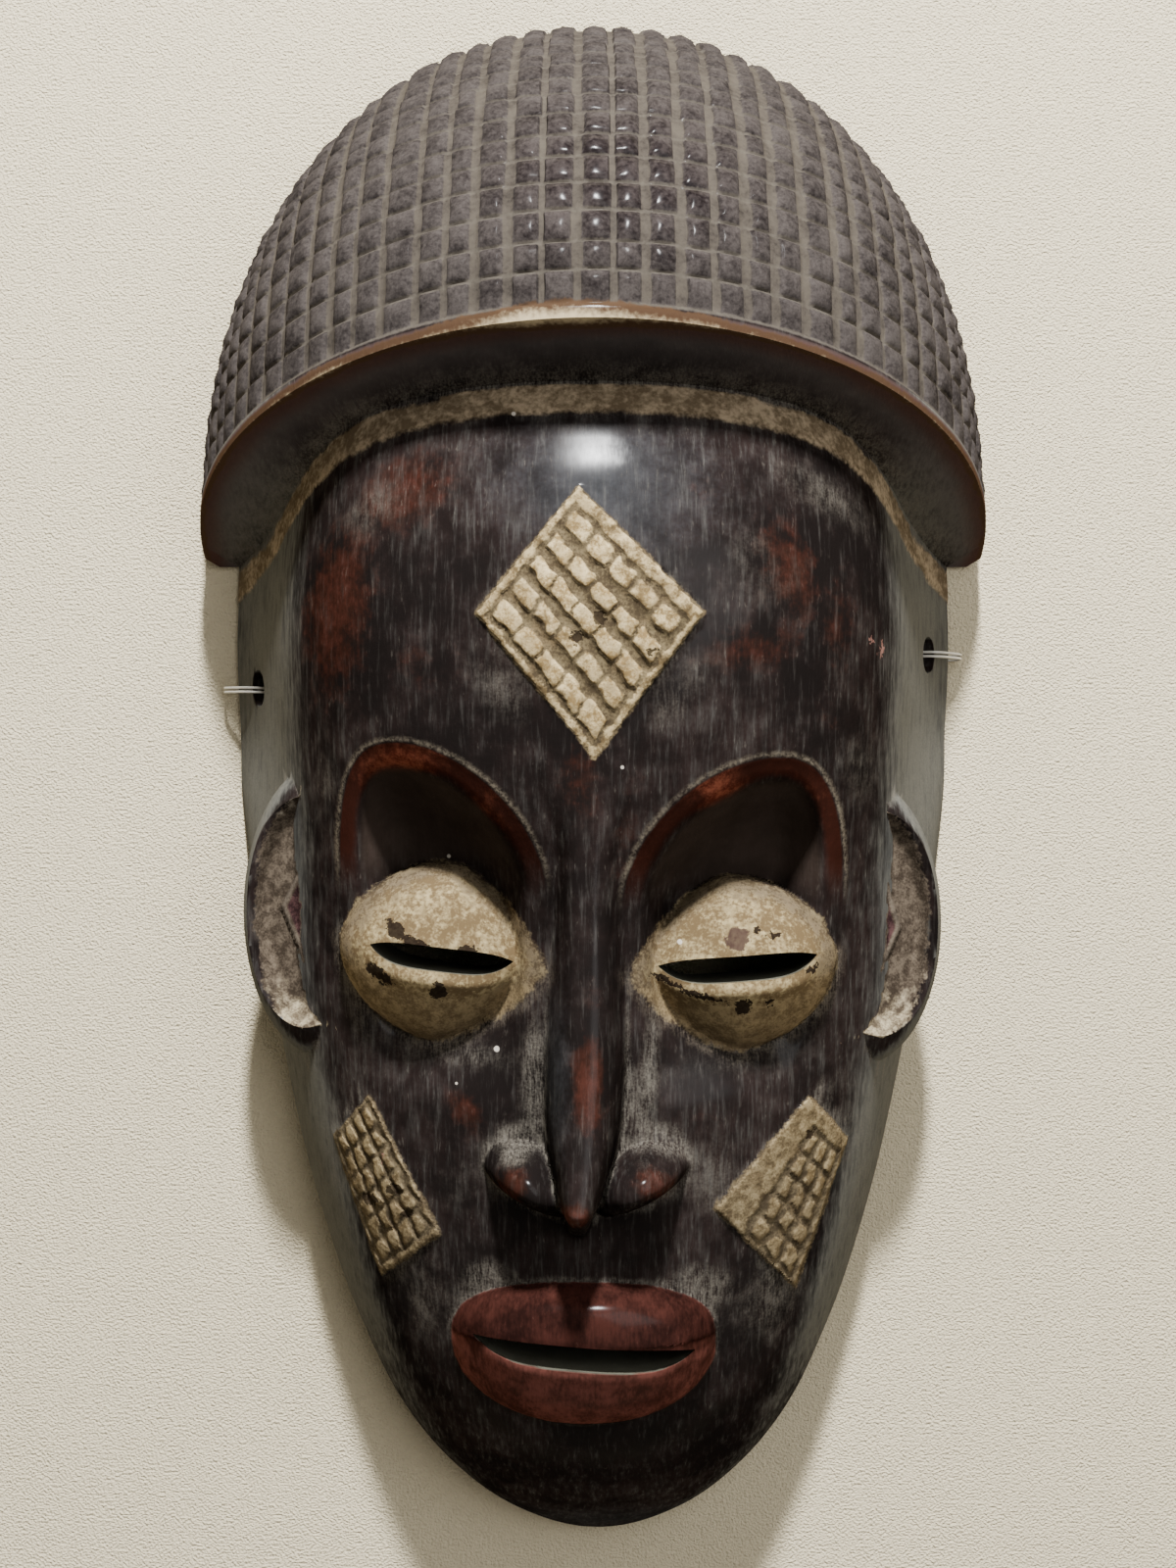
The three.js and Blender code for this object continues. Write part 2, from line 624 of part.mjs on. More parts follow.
function makeHair() {
  const angles = [];
  for (let i = 0; i <= HAIR_COLUMNS; i += 1) angles.push(Math.PI * (i / HAIR_COLUMNS - 0.5));
  const rows = [HAIR_MARGIN];
  for (let i = 0; i < HAIR_FRONT_ROWS; i += 1) rows.push(rows.at(-1) + HAIR_ROW_PITCH);
  for (let i = 0; i < HAIR_BACK_ROWS; i += 1) rows.push(rows.at(-1) + HAIR_BACK_PITCH);
  const quilt = blockQuilt(hairPoint, angles, rows, HAIR_HALF_GROOVE / RIM_RISE, HAIR_GROOVE_DEPTH, 0);
  const { points, triangles, crossing } = quilt;
  const addLine = (make) => angles.map((angle) => points.push(make(angle)) - 1);
  const joinLines = (low, high) => {
    for (let i = 0; i + 1 < angles.length; i += 1) {
      triangles.push([low[i], low[i + 1], high[i + 1]], [low[i], high[i + 1], high[i]]);
    }
  };
  const margin = addLine((angle) => hairPoint(angle, RIM_LIP, 0));
  const ledgeEdge = addLine((angle) => hairPoint(angle, 0, -RIM_LIP));
  joinLines(margin, crossing.map((column) => column[0]));
  joinLines(ledgeEdge, margin);
  const last = angles.length - 1;
  const border = [
    ...ledgeEdge,
    margin[last],
    ...crossing[last],
    ...crossing.slice(0, last).reverse().map((column) => column.at(-1)),
    ...crossing[0].slice(0, -1).reverse(),
    margin[0],
  ];
  const lean = RIM_LEAN / RIM_RISE;
  const apexY = RIM_FOOT_Y - (RIM_FOOT_Z + HAIR_ROOT_DEPTH) * lean - RIM_LIP;
  const apex = new THREE.Vector3(0, apexY, -HAIR_ROOT_DEPTH);
  return closeToPoint({ points, triangles, border }, apex);
}

// Hollow of the back, a smooth dome under the face and the head
const hollowHalfWidth = domeThrough([
  [HOLLOW_CHIN_Y, 0], [-157, 25], [-140, 38.5], [-118, 49], [-90, 58.5], [-60, 65.5], [-20, 73],
  [28, 77.5], [60, 78], [100, 75.5], [130, 62], [152, 41], [HOLLOW_TOP_Y, 0],
]);
const hollowHeight = domeThrough([
  [HOLLOW_CHIN_Y, 0], [-160, 21], [-140, 38], [-110, 47.5], [-80, 50], [-50, 49], [-22, 48],
  [5, 55], [30, 70], [48, 75], [75, 73], [115, 61], [150, 36], [HOLLOW_TOP_Y, 0],
]);

function makeHollow() {
  const across = HOLLOW_ACROSS;
  const along = HOLLOW_ALONG;
  const points = [];
  const triangles = [];
  for (let j = 1; j < along; j += 1) {
    const y = lerp((HOLLOW_TOP_Y + HOLLOW_CHIN_Y) / 2, HOLLOW_TOP_Y, -Math.cos((Math.PI * j) / along));
    for (let i = 0; i <= across; i += 1) {
      const part = -Math.cos((Math.PI * i) / across);
      const x = chinShift(y) + part * hollowHalfWidth(y);
      points.push(new THREE.Vector3(x, y, hollowHeight(y) * sectionShape(Math.abs(part), y)));
    }
  }
  const row = across + 1;
  for (let j = 0; j + 2 < along; j += 1) {
    for (let i = 0; i < across; i += 1) {
      const a = j * row + i;
      triangles.push([a, a + 1, a + row + 1], [a, a + row + 1, a + row]);
    }
  }
  const chin = points.push(new THREE.Vector3(chinShift(HOLLOW_CHIN_Y), HOLLOW_CHIN_Y, 0)) - 1;
  const head = points.push(new THREE.Vector3(0, HOLLOW_TOP_Y, 0)) - 1;
  const lastRow = (along - 2) * row;
  for (let i = 0; i < across; i += 1) {
    triangles.push([chin, i + 1, i], [head, lastRow + i, lastRow + i + 1]);
  }
  const border = [chin];
  for (let j = 0; j < along - 1; j += 1) border.push(j * row + across);
  border.push(head);
  for (let j = along - 2; j >= 0; j -= 1) border.push(j * row);
  return closeToPoint({ points, triangles, border }, new THREE.Vector3(0, 0, HOLLOW_APEX_Z));
}

// Everything under the floor goes, and the rim is bowed up along the temples
function makeFloorCut() {
  const shape = new THREE.Shape();
  const radius = (BOW_HALF_LENGTH ** 2 + BOW_HEIGHT ** 2) / (2 * BOW_HEIGHT);
  const halfTurn = Math.asin(BOW_HALF_LENGTH / radius);
  const reach = CUT_REACH;
  shape.moveTo(-reach, -reach);
  shape.lineTo(reach, -reach);
  shape.lineTo(reach, 0);
  const up = Math.PI / 2;
  shape.absarc(BOW_CENTRE_Y, BOW_HEIGHT - radius, radius, up - halfTurn, up + halfTurn, false);
  shape.lineTo(-reach, 0);
  const settings = { depth: 2 * reach, bevelEnabled: false, curveSegments: BOW_SEGMENTS };
  const geometry = new THREE.ExtrudeGeometry(shape, settings);
  geometry.rotateY(Math.PI / 2);
  geometry.rotateX(Math.PI / 2);
  geometry.translate(-reach, 0, 0);
  return solidOf(geometry);
}

// A pointed slot straight through the wood, from below the floor to above the face
function makeSlot({ from, to, rise, sag }) {
  const start = new THREE.Vector2(...from);
  const end = new THREE.Vector2(...to);
  const half = start.distanceTo(end) / 2;
  const shape = new THREE.Shape();
  shape.moveTo(half, 0);
  shape.quadraticCurveTo(0, 2 * rise, -half, 0);
  shape.quadraticCurveTo(0, -2 * sag, half, 0);
  const settings = { depth: SLOT_LENGTH, bevelEnabled: false, curveSegments: SLOT_SEGMENTS };
  const geometry = new THREE.ExtrudeGeometry(shape, settings);
  geometry.rotateZ(end.clone().sub(start).angle());
  geometry.translate((start.x + end.x) / 2, (start.y + end.y) / 2, SLOT_FOOT_Z);
  return solidOf(geometry);
}

// A drilled hole through the side wall for the line
function makeSideHole({ side, hole }) {
  const geometry = new THREE.CylinderGeometry(HOLE_RADIUS, HOLE_RADIUS, HOLE_LENGTH, HOLE_SIDES);
  geometry.rotateZ(Math.PI / 2);
  geometry.rotateY(-side * HOLE_TILT);
  geometry.translate(side * HOLE_REACH, hole, HOLE_Z);
  return solidOf(geometry);
}

// One ellipsoid of an ear
function earEllipsoid({ side, ear }, { inward, z, radii, around, down }, halfHeight) {
  const geometry = new THREE.SphereGeometry(1, around, down);
  geometry.scale(radii[0], halfHeight, radii[1]);
  geometry.translate(ear.reach - side * inward, (ear.top + ear.bottom) / 2, z);
  return solidOf(geometry);
}

// An ear: a cup on the side wall, open to the front, with a small leaf of wood inside it
function makeEar(half) {
  const halfHeight = (half.ear.top - half.ear.bottom) / 2;
  const shell = earEllipsoid(half, EAR_SHELL, halfHeight);
  const cup = earEllipsoid(half, EAR_CUP, halfHeight - EAR_CUP.wall);
  const leaf = earEllipsoid(half, EAR_LEAF, halfHeight * EAR_LEAF.share);
  return shell.subtract(cup).add(leaf);
}

// A lozenge panel: rows of small raised blocks that stand on the skin
function panelPlace(corners) {
  return (s, t, lift) => {
    const x = lerp(lerp(corners[0][0], corners[1][0], s), lerp(corners[3][0], corners[2][0], s), t);
    const y = lerp(lerp(corners[0][1], corners[1][1], s), lerp(corners[3][1], corners[2][1], s), t);
    return new THREE.Vector3(x, y, bareSkin(x, y) + PANEL_PROUD + lift);
  };
}

function evenLines(count, from, to) {
  return Array.from({ length: count + 1 }, (_, i) => lerp(from, to, i / count));
}

function makePanel({ corners, count, margin }) {
  const across = new THREE.Vector2(...corners[1]).distanceTo(new THREE.Vector2(...corners[0]));
  const place = panelPlace(corners);
  const sLines = evenLines(count[0], 0, 1);
  const tLines = evenLines(count[1], margin, 1);
  if (margin > 0) tLines.unshift(0);
  const plainRows = margin > 0 ? 1 : 0;
  const depth = PANEL_PROUD - PANEL_FLOOR;
  const quilt = blockQuilt(place, sLines, tLines, PANEL_HALF_GROOVE / across, depth, plainRows);
  return closeToPoint(quilt, place(0.5, 0.5, -PANEL_ROOT));
}

// The carved block
function makeMask() {
  let wood = makeFace().add(makeLips());
  for (const half of SIDES) wood = wood.add(makeEye(half)).add(makeNoseWing(half));
  for (const panel of [FOREHEAD_PANEL, LEFT.panel, RIGHT.panel]) wood = wood.add(makePanel(panel));
  wood = wood.add(makeHair());
  for (const half of SIDES) wood = wood.add(makeEar(half));
  wood = wood.subtract(makeHollow()).subtract(makeFloorCut()).subtract(makeSlot(MOUTH_SLOT));
  for (const half of SIDES) wood = wood.subtract(makeSlot(half.slit)).subtract(makeSideHole(half));
  return wood;
}

// Where the line runs round the rim on one side, from inside the hollow outward
function turnsRound({ side, hole }) {
  const points = [];
  for (let turn = 0; turn < LINE_TURNS; turn += 1) {
    LINE_TURN.forEach(([x, z], k) => {
      const along = turn + k / LINE_TURN.length - LINE_TURNS / 2;
      points.push(new THREE.Vector3(side * x, hole - side * LINE_PITCH * along, z));
    });
  }
  return points;
}

function makeLine() {
  const slack = LINE_SLACK.map((place) => new THREE.Vector3(...place));
  const route = new THREE.CatmullRomCurve3([...turnsRound(LEFT), ...slack, ...turnsRound(RIGHT).reverse()]);
  const shape = new THREE.Shape();
  for (let i = 0; i < LINE_SIDES; i += 1) {
    const turn = (2 * Math.PI * i) / LINE_SIDES;
    const corner = [(Math.cos(turn) * LINE_DIAMETER) / 2, (Math.sin(turn) * LINE_DIAMETER) / 2];
    if (i === 0) shape.moveTo(...corner);
    else shape.lineTo(...corner);
  }
  const settings = { steps: LINE_STEPS, bevelEnabled: false, extrudePath: route, curveSegments: 1 };
  return solidOf(new THREE.ExtrudeGeometry(shape, settings));
}

// The knot at an end of the line, close by the inner mouth of the hole
function makeKnot({ side, hole }) {
  const geometry = new THREE.IcosahedronGeometry(KNOT_RADIUS, 0);
  geometry.translate(side * KNOT_PLACE[0], hole + side * LINE_PITCH * (LINE_TURNS / 2), KNOT_PLACE[1]);
  return solidOf(geometry);
}

function geometryOf(solid) {
  const mesh = solid.getMesh();
  const geometry = new THREE.BufferGeometry();
  const positions = [];
  for (let i = 0; i < mesh.numVert; i += 1) {
    positions.push(...mesh.vertProperties.slice(i * mesh.numProp, i * mesh.numProp + 3));
  }
  geometry.setAttribute('position', new THREE.Float32BufferAttribute(positions, 3));
  geometry.setIndex([...mesh.triVerts]);
  return geometry;
}

const stainedWood = new THREE.MeshStandardMaterial({ color: '#2b2322', roughness: 0.5, metalness: 0 });
const paleLine = new THREE.MeshStandardMaterial({ color: '#d8d2c4', roughness: 0.45, metalness: 0 });

function named(name, geometry, material) {
  const mesh = new THREE.Mesh(geometry, material);
  mesh.name = name;
  return mesh;
}

const africanMask = new THREE.Group();
africanMask.add(named('mask', geometryOf(makeMask()), stainedWood));
africanMask.add(named('hanging_line', geometryOf(makeLine()), paleLine));
africanMask.add(named('line_knot_left', geometryOf(makeKnot(LEFT)), paleLine));
africanMask.add(named('line_knot_right', geometryOf(makeKnot(RIGHT)), paleLine));

export default africanMask;
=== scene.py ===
from math import cos, hypot, pi, radians, sin

import bmesh
import bpy
import numpy as np
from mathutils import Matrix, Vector, kdtree


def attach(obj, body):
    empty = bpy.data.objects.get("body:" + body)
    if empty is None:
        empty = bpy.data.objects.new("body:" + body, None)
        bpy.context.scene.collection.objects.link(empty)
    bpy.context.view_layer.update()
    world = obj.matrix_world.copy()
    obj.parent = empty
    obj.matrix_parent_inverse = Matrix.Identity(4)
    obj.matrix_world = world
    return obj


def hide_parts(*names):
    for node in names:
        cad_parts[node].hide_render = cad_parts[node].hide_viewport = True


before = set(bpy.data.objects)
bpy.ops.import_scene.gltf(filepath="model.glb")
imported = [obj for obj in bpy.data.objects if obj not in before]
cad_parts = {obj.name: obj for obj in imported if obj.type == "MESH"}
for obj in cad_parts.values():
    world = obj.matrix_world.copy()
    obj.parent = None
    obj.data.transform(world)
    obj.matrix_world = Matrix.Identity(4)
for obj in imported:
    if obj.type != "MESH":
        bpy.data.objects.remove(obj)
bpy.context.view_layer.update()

scene = bpy.context.scene

# Camera. It looks straight down on the mask, as it lies on its back, from 580 mm over the floor.
# Its sensor is fitted to the height of the picture, along the length of the mask.
camera_data = bpy.data.cameras.new("camera")
camera_data.sensor_fit = "VERTICAL"
camera_data.sensor_height = 36
camera_data.lens = 54
camera_data.clip_start = 0.01
camera = bpy.data.objects.new("camera", camera_data)
camera.location = (-0.0012, -0.0005, 0.58)
scene.collection.objects.link(camera)
scene.camera = camera

# Hanging line. One 0.35 m length of clear nylon monofilament, 0.6 mm thick. It is wound twice
# round the rim through each side hole, lies slack across the open back, and ends in a knot.
MM = 0.001
LINE_DIAMETER = 0.6
LINE_PITCH = 1
# One turn round the rim, as distance from the mask's middle and height over the floor.
LINE_TURN = [
    (70.6, 6.7), (76.5, 9.7), (82.4, 13.2), (86.8, 10.2), (89.9, 5.4),
    (89.3, 1.4), (83, 1.1), (76, 1.1), (71.8, 2.6),
]
LINE_SLACK = [(-56, 19, 0.7), (-22, 14, 0.7), (20, 37, 0.7), (56, 35, 0.7)]
TURNS_ROUND_RIM = 2
LEFT_HOLE, RIGHT_HOLE = 22.5, 30.5


def linear(code):
    """An sRGB hex colour as the linear RGBA that the shaders take."""
    parts = [int(code[i:i + 2], 16) / 255 for i in (1, 3, 5)]
    return (*[c / 12.92 if c <= 0.04045 else ((c + 0.055) / 1.055) ** 2.4 for c in parts], 1)


def add(tree, kind, links=None, **settings):
    """One node, with its settings by name and its inputs by socket name or number."""
    made = tree.nodes.new(kind)
    for name, value in settings.items():
        setattr(made, name, value)
    for socket, value in (links or {}).items():
        if isinstance(value, bpy.types.Node):
            value = value.outputs[0]
        if isinstance(value, bpy.types.NodeSocket):
            tree.links.new(value, made.inputs[socket])
        else:
            made.inputs[socket].default_value = value
    return made


def new_material(name):
    made = bpy.data.materials.new(name)
    made.use_nodes = True
    made.node_tree.nodes.clear()
    return made, made.node_tree


def turns_round(side, hole):
    points = []
    for turn in range(TURNS_ROUND_RIM):
        for k, (x, z) in enumerate(LINE_TURN):
            along = turn + k / len(LINE_TURN) - TURNS_ROUND_RIM / 2
            points.append((side * x, hole - side * LINE_PITCH * along, z))
    return points


route = turns_round(-1, LEFT_HOLE) + LINE_SLACK + turns_round(1, RIGHT_HOLE)[::-1]
curve = bpy.data.curves.new("hanging_line_made", "CURVE")
curve.dimensions = "3D"
curve.bevel_depth = LINE_DIAMETER / 2 * MM
curve.bevel_resolution = 3
curve.resolution_u = 6
spline = curve.splines.new("BEZIER")
spline.bezier_points.add(len(route) - 1)
for point, place in zip(spline.bezier_points, route):
    point.co = Vector(place) * MM
    point.handle_left_type = point.handle_right_type = "AUTO"
line = bpy.data.objects.new("nylon_line", curve)
scene.collection.objects.link(line)

# Clear nylon monofilament, drawn through a die: smooth and glossy, milky where light passes in it.
nylon, tree = new_material("nylon_monofilament")
place = add(tree, "ShaderNodeTexCoord")
haze = add(tree, "ShaderNodeTexNoise", {"Vector": place.outputs["Object"], "Scale": 180.0, "Detail": 2.0})
tint = add(tree, "ShaderNodeMix", {0: haze.outputs[0], 6: linear("#d9d4c8"), 7: linear("#f1eee6")},
           data_type="RGBA")
scuff = add(tree, "ShaderNodeMapRange", {0: haze.outputs[0], 3: 0.22, 4: 0.42})
shine = add(tree, "ShaderNodeBsdfPrincipled", {
    "Base Color": tint.outputs[2], "Roughness": scuff.outputs[0], "IOR": 1.53, "Coat Weight": 0.3,
})
add(tree, "ShaderNodeOutputMaterial", {0: shine})
curve.materials.append(nylon)

# Knots. Each end of the same nylon line is tied off in a small overhand knot, pulled tight by
# the inner mouth of its side hole. Here a knot is a ball with the strands' lay in low relief.
KNOT_PLACE = (68.8, 6.1)
KNOT_RADIUS, KNOT_BODY = 1.3, 0.93
KNOT_STRANDS, KNOT_TWIST, STRAND_RELIEF = 3, 5, 0.06
for name, side, hole in (("line_knot_left", -1, LEFT_HOLE), ("line_knot_right", 1, RIGHT_HOLE)):
    bm = bmesh.new()
    centre = Vector((side * KNOT_PLACE[0], hole + side * LINE_PITCH, KNOT_PLACE[1]))
    ball = bmesh.ops.create_uvsphere(bm, u_segments=24, v_segments=16, radius=KNOT_RADIUS * KNOT_BODY)
    for v in ball["verts"]:
        turn = np.arctan2(v.co.y, v.co.x)
        strands = STRAND_RELIEF * cos(KNOT_STRANDS * turn + KNOT_TWIST * v.co.z)
        v.co = centre + v.co * (1 + strands)
    mesh = bpy.data.meshes.new(name + "_made")
    bmesh.ops.scale(bm, vec=(MM, MM, MM), verts=bm.verts)
    for face in bm.faces:
        face.smooth = True
    bm.to_mesh(mesh)
    bm.free()
    mesh.materials.append(nylon)
    knot = bpy.data.objects.new(name + "_tied", mesh)
    scene.collection.objects.link(knot)
    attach(knot, "root")
    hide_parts(name)

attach(line, "root")
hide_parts("hanging_line")

# Carved block: the form of the face. One log of dense pale wood, cut with adze and knife.
# These are the same smooth forms as the solid's, in millimetres, worked out for whole arrays.
HEAD_END, CHIN_END = 182.3, -182.5
FACE_TOP, CHIN_CORNER = 100, -118
CHIN_DRIFT, CHIN_DRIFT_START = 1.2, -80
LEFT = {
    "side": -1,
    "brow": {"peak": (-41.9, 8.7), "outer": 14.6, "inner": 31.9, "height": 31.3, "rounds": (2.9, 1.7)},
    "eye": {"centre": (-33.3, -37.5), "length": 46.5, "height": 40, "tilt": radians(-8)},
    "slit": {"from": (-48.6, -35.3), "to": (-17.4, -39.1), "rise": 1.5, "sag": 3.9},
    "wing": {"centre": (-13.2, -87.2), "radii": (10.4, 7.4), "tilt": radians(-40), "crest": 83.5},
    "ear": {"top": 0.2, "bottom": -59.5, "reach": -81,
            "leaf": [(-64.4, -15.5), (-71.2, -28.6), (-64.0, -45)]},
    "panel": {"corners": [(-50.1, -70.1), (-59.5, -81), (-48.4, -112.5), (-33.8, -100.1)],
              "count": (4, 6), "border": (1.3, 0.9, 0.8, 2.6), "grooves": (0.7, 0.85)},
    "hole": LEFT_HOLE,
}
RIGHT = {
    "side": 1,
    "brow": {"peak": (39.5, 5.5), "outer": 16.1, "inner": 33.6, "height": 32.1, "rounds": (2.6, 1.8)},
    "eye": {"centre": (30.9, -40.1), "length": 46.5, "height": 39, "tilt": radians(4)},
    "slit": {"from": (14, -40.1), "to": (48.8, -37.6), "rise": 1.3, "sag": 4.4},
    "wing": {"centre": (9.8, -87), "radii": (10.6, 7.4), "tilt": radians(33), "crest": 83.5},
    "ear": {"top": -3.5, "bottom": -61.3, "reach": 80.6,
            "leaf": [(63.8, -13.5), (70.2, -33.5), (62.8, -49)]},
    "panel": {"corners": [(47.9, -69.9), (26.6, -93.6), (45.7, -114.4), (58.2, -81.3)],
              "count": (5, 3), "border": (4.2, 1.2, 5.4, 1.3), "grooves": (0.9, 1.05)},
    "hole": RIGHT_HOLE,
}
HALVES = (LEFT, RIGHT)
FOREHEAD_PANEL = {"corners": [(-3.2, 61.8), (-24.7, 35.2), (0.2, 4.6), (22.9, 35.2)],
                  "count": (5, 5), "border": (3.6, 2.2, 2.4, 2.2), "grooves": (1.5, 0.7)}
LIPS = {"centre": (-2.2, -124.3), "half_length": 29.4, "upper": 14.8, "lower": 18.8,
        "upper_power": 2.6, "lower_power": 2.1, "rise": 11.5, "sink": 0.5,
        "seam": 2, "upper_edge": 4.2, "lower_edge": 2.7, "roundness": 0.6, "ripple": 0.12}
MOUTH_SLOT = {"from": (-26.5, -120.9), "to": (22.3, -124.3), "rise": 0.8, "sag": 5.0}
MOUTH_ROLL_MIDDLE, MOUTH_ROLL_WIDTH, UPPER_ROLL, LOWER_ROLL = -0.9, 2.2, 0.4, 0.7
SLOT_POWER = 4.4
CHEEK_POWER, TEMPLE_START = 2.15, (-50, 15)
SOCKET_FOOT, OUTER_SOCKET_FOOT, OUTER_SOCKET_WIDTH = (-74, -26), (-34, -6), 12
RUBBED_DEPTH, RUBBED_FOOT, RUBBED_RINGS = (4, 9), (-40, -12), ((2.4, 6), (5.0, 10))
EYE_FLOOR, EYE_CREST, EYE_ROUNDNESS = 59, 74, 0.65
EYE_INNER_POWER, EYE_OUTER_POWER = 1.4, 1.75
# Each lid's roll: its height, its distance from the slit's edge, and its width.
UPPER_LID, LOWER_LID = (0.5, 0, 2.0), (1.5, 2.4, 2.1)
NOSE_TIP_Y, NOSE_SLOPE, NOSE_ROUNDING = -91.5, 3.6, 1.9
NOSE_SIDE_DROP, NOSE_POWER, NOSE_BLEND = 17, 3.2, 6
NOSE_END_Y, NOSE_ROOT_Y = -93, 28
WING_REACH, WING_FALL, WING_POWER, WING_EDGE_DROP, WING_EDGE_TILT = 1.3, 12, 2.2, 3.2, 0.5
PANEL_PROUD, PANEL_FLOOR, PANEL_CRUMBS = 1.5, 0.35, 0.16
BLOCK_SPREAD, BORDER_PROUD, BORDER_STEP, GROOVE_END = 0.3, 0.62, 0.9, 0.02
RIM_FOOT_Y, RIM_FOOT_Z, RIM_LEAN, RIM_RISE, RIM_LIP = 54.5, 6, 40.3, 93.85, 1.2
BAND_WIDTH, BAND_PROUD, BAND_SOFTNESS, BAND_FROM_Y = 7.6, 0.45, 0.9, 20


def lerp(a, b, t):
    return a + (b - a) * t


def smoothstep(x, low, high):
    t = np.clip((x - low) / (high - low), 0, 1)
    return t * t * (3 - 2 * t)


def curve_through(points):
    """A smooth curve y(x) through the points."""
    xs, ys = np.array(points, float).T
    ahead = np.append(np.arange(1, len(xs)), len(xs) - 1)
    behind = np.insert(np.arange(len(xs) - 1), 0, 0)
    slopes = (ys[ahead] - ys[behind]) / (xs[ahead] - xs[behind])

    def at(x):
        k = np.clip(np.searchsorted(xs, x, "right") - 1, 0, len(xs) - 2)
        span = xs[k + 1] - xs[k]
        t = np.clip((x - xs[k]) / span, 0, 1)
        rise = (2 * t**3 - 3 * t**2 + 1) * ys[k] + (3 * t**2 - 2 * t**3) * ys[k + 1]
        return rise + ((t**3 - 2 * t**2 + t) * slopes[k] + (t**3 - t**2) * slopes[k + 1]) * span

    return at


def dome_through(points):
    """The same for a curve that meets zero square on, as the end of a dome does."""
    squares = curve_through([(x, y * y) for x, y in points])
    return lambda x: np.sqrt(np.maximum(squares(x), 0))


face_half_width = dome_through([
    (CHIN_END, 0), (-180, 13.5), (-175, 23.6), (-168, 32.5), (-158, 41.8), (-147, 49.2), (-135, 55),
    (-118, 61.8), (-91, 69.8), (-60, 76.4), (-20, 84.2), (28, 88.9), (60, 87), (FACE_TOP, 82),
])
crown_height = dome_through([
    (CHIN_END, 0), (-176, 18), (-165, 35.5), (-150, 51), (-135, 59.5), (-110, 65.5), (-90, 69), (-60, 72.5),
    (-30, 76), (-5, 85), (20, 90), (40, 91.5), (62, 88.5), (75, 83.5), (85, 78), (FACE_TOP, 70),
])
temple_section = curve_through([
    (-0.25, 0.978), (0, 1), (0.25, 0.978), (0.46, 0.9), (0.62, 0.77), (0.724, 0.604),
    (0.793, 0.44), (0.85, 0.285), (0.92, 0.132), (1, 0),
])
socket_drop = curve_through([
    (0, 0), (1, 0.5), (4.8, 2.5), (7, 6.8), (10, 12.6), (14, 17), (19, 18.8), (28, 18.8), (40, 18.5),
])
nose_ridge = curve_through([
    (NOSE_END_Y, 95.5), (-80, 92.3), (-60, 88.3), (-40, 86.2), (-18, 86.3), (10, 88.5), (30, 89),
])
nose_half_width = curve_through([
    (NOSE_END_Y, 3.2), (-90, 4.4), (-86, 5.7), (-78, 7.4), (-68, 8.4), (-60, 8.8), (-45, 8.6),
    (-24, 8), (-12, 9.8), (5, 20), (30, 30),
])
nose_centre = curve_through([(NOSE_END_Y, -3.2), (-60, -1.8), (10, -0.8)])


def chin_shift(y):
    return CHIN_DRIFT * np.clip((CHIN_DRIFT_START - y) / (CHIN_DRIFT_START - CHIN_END), 0, 1) ** 1.4


def section_shape(part, y):
    inside = np.clip(part, 0, 1)
    cheek = np.sqrt(np.maximum(1 - inside**CHEEK_POWER, 0))
    return lerp(cheek, temple_section(inside), smoothstep(y, *TEMPLE_START))


def bare_skin(x, y):
    part = np.abs(x - chin_shift(y)) / np.maximum(face_half_width(y), 0.01)
    return crown_height(y) * section_shape(part, y)


def brow_reach(x, y, side, brow):
    dx = x - brow["peak"][0]
    inward = dx * side < 0
    across = np.where(inward, brow["inner"], brow["outer"])
    power = np.where(inward, brow["rounds"][1], brow["rounds"][0])
    up = np.maximum(0, y - (brow["peak"][1] - brow["height"])) / brow["height"]
    return (np.abs(dx / across) ** power + up**power + 1e-12) ** (1 / power)


def under_brow(x, y, half):
    """Depth of a point under the brow's edge in the plan, and the way in which it grows."""
    step = 0.05
    reach = brow_reach(x, y, half["side"], half["brow"])
    gx = (brow_reach(x + step, y, half["side"], half["brow"]) - reach) / step
    gy = (brow_reach(x, y + step, half["side"], half["brow"]) - reach) / step
    steep = np.maximum(np.hypot(gx, gy), 0.02)
    return (1 - reach) / steep, -gx / steep, -gy / steep


def socket_cut(x, y, half):
    depth = under_brow(x, y, half)[0]
    outward = (x - half["brow"]["peak"][0]) * half["side"]
    outer_fade = lerp(1, smoothstep(y, *OUTER_SOCKET_FOOT), smoothstep(outward, 0, OUTER_SOCKET_WIDTH))
    return depth, np.where(depth > 0, socket_drop(depth) * smoothstep(y, *SOCKET_FOOT) * outer_fade, 0)


def socket(x, y, half):
    """The cut under a brow: crisp at its edge, and rubbed smooth farther in."""
    depth, sharp = socket_cut(x, y, half)
    soft, weight = sharp * 2, 2
    for radius, count in RUBBED_RINGS:
        weight += count
        for k in range(count):
            turn = 2 * pi * (k + 0.5) / count
            soft = soft + socket_cut(x + radius * cos(turn), y + radius * sin(turn), half)[1]
    return lerp(sharp, soft / weight, smoothstep(depth, *RUBBED_DEPTH) * smoothstep(y, *RUBBED_FOOT))


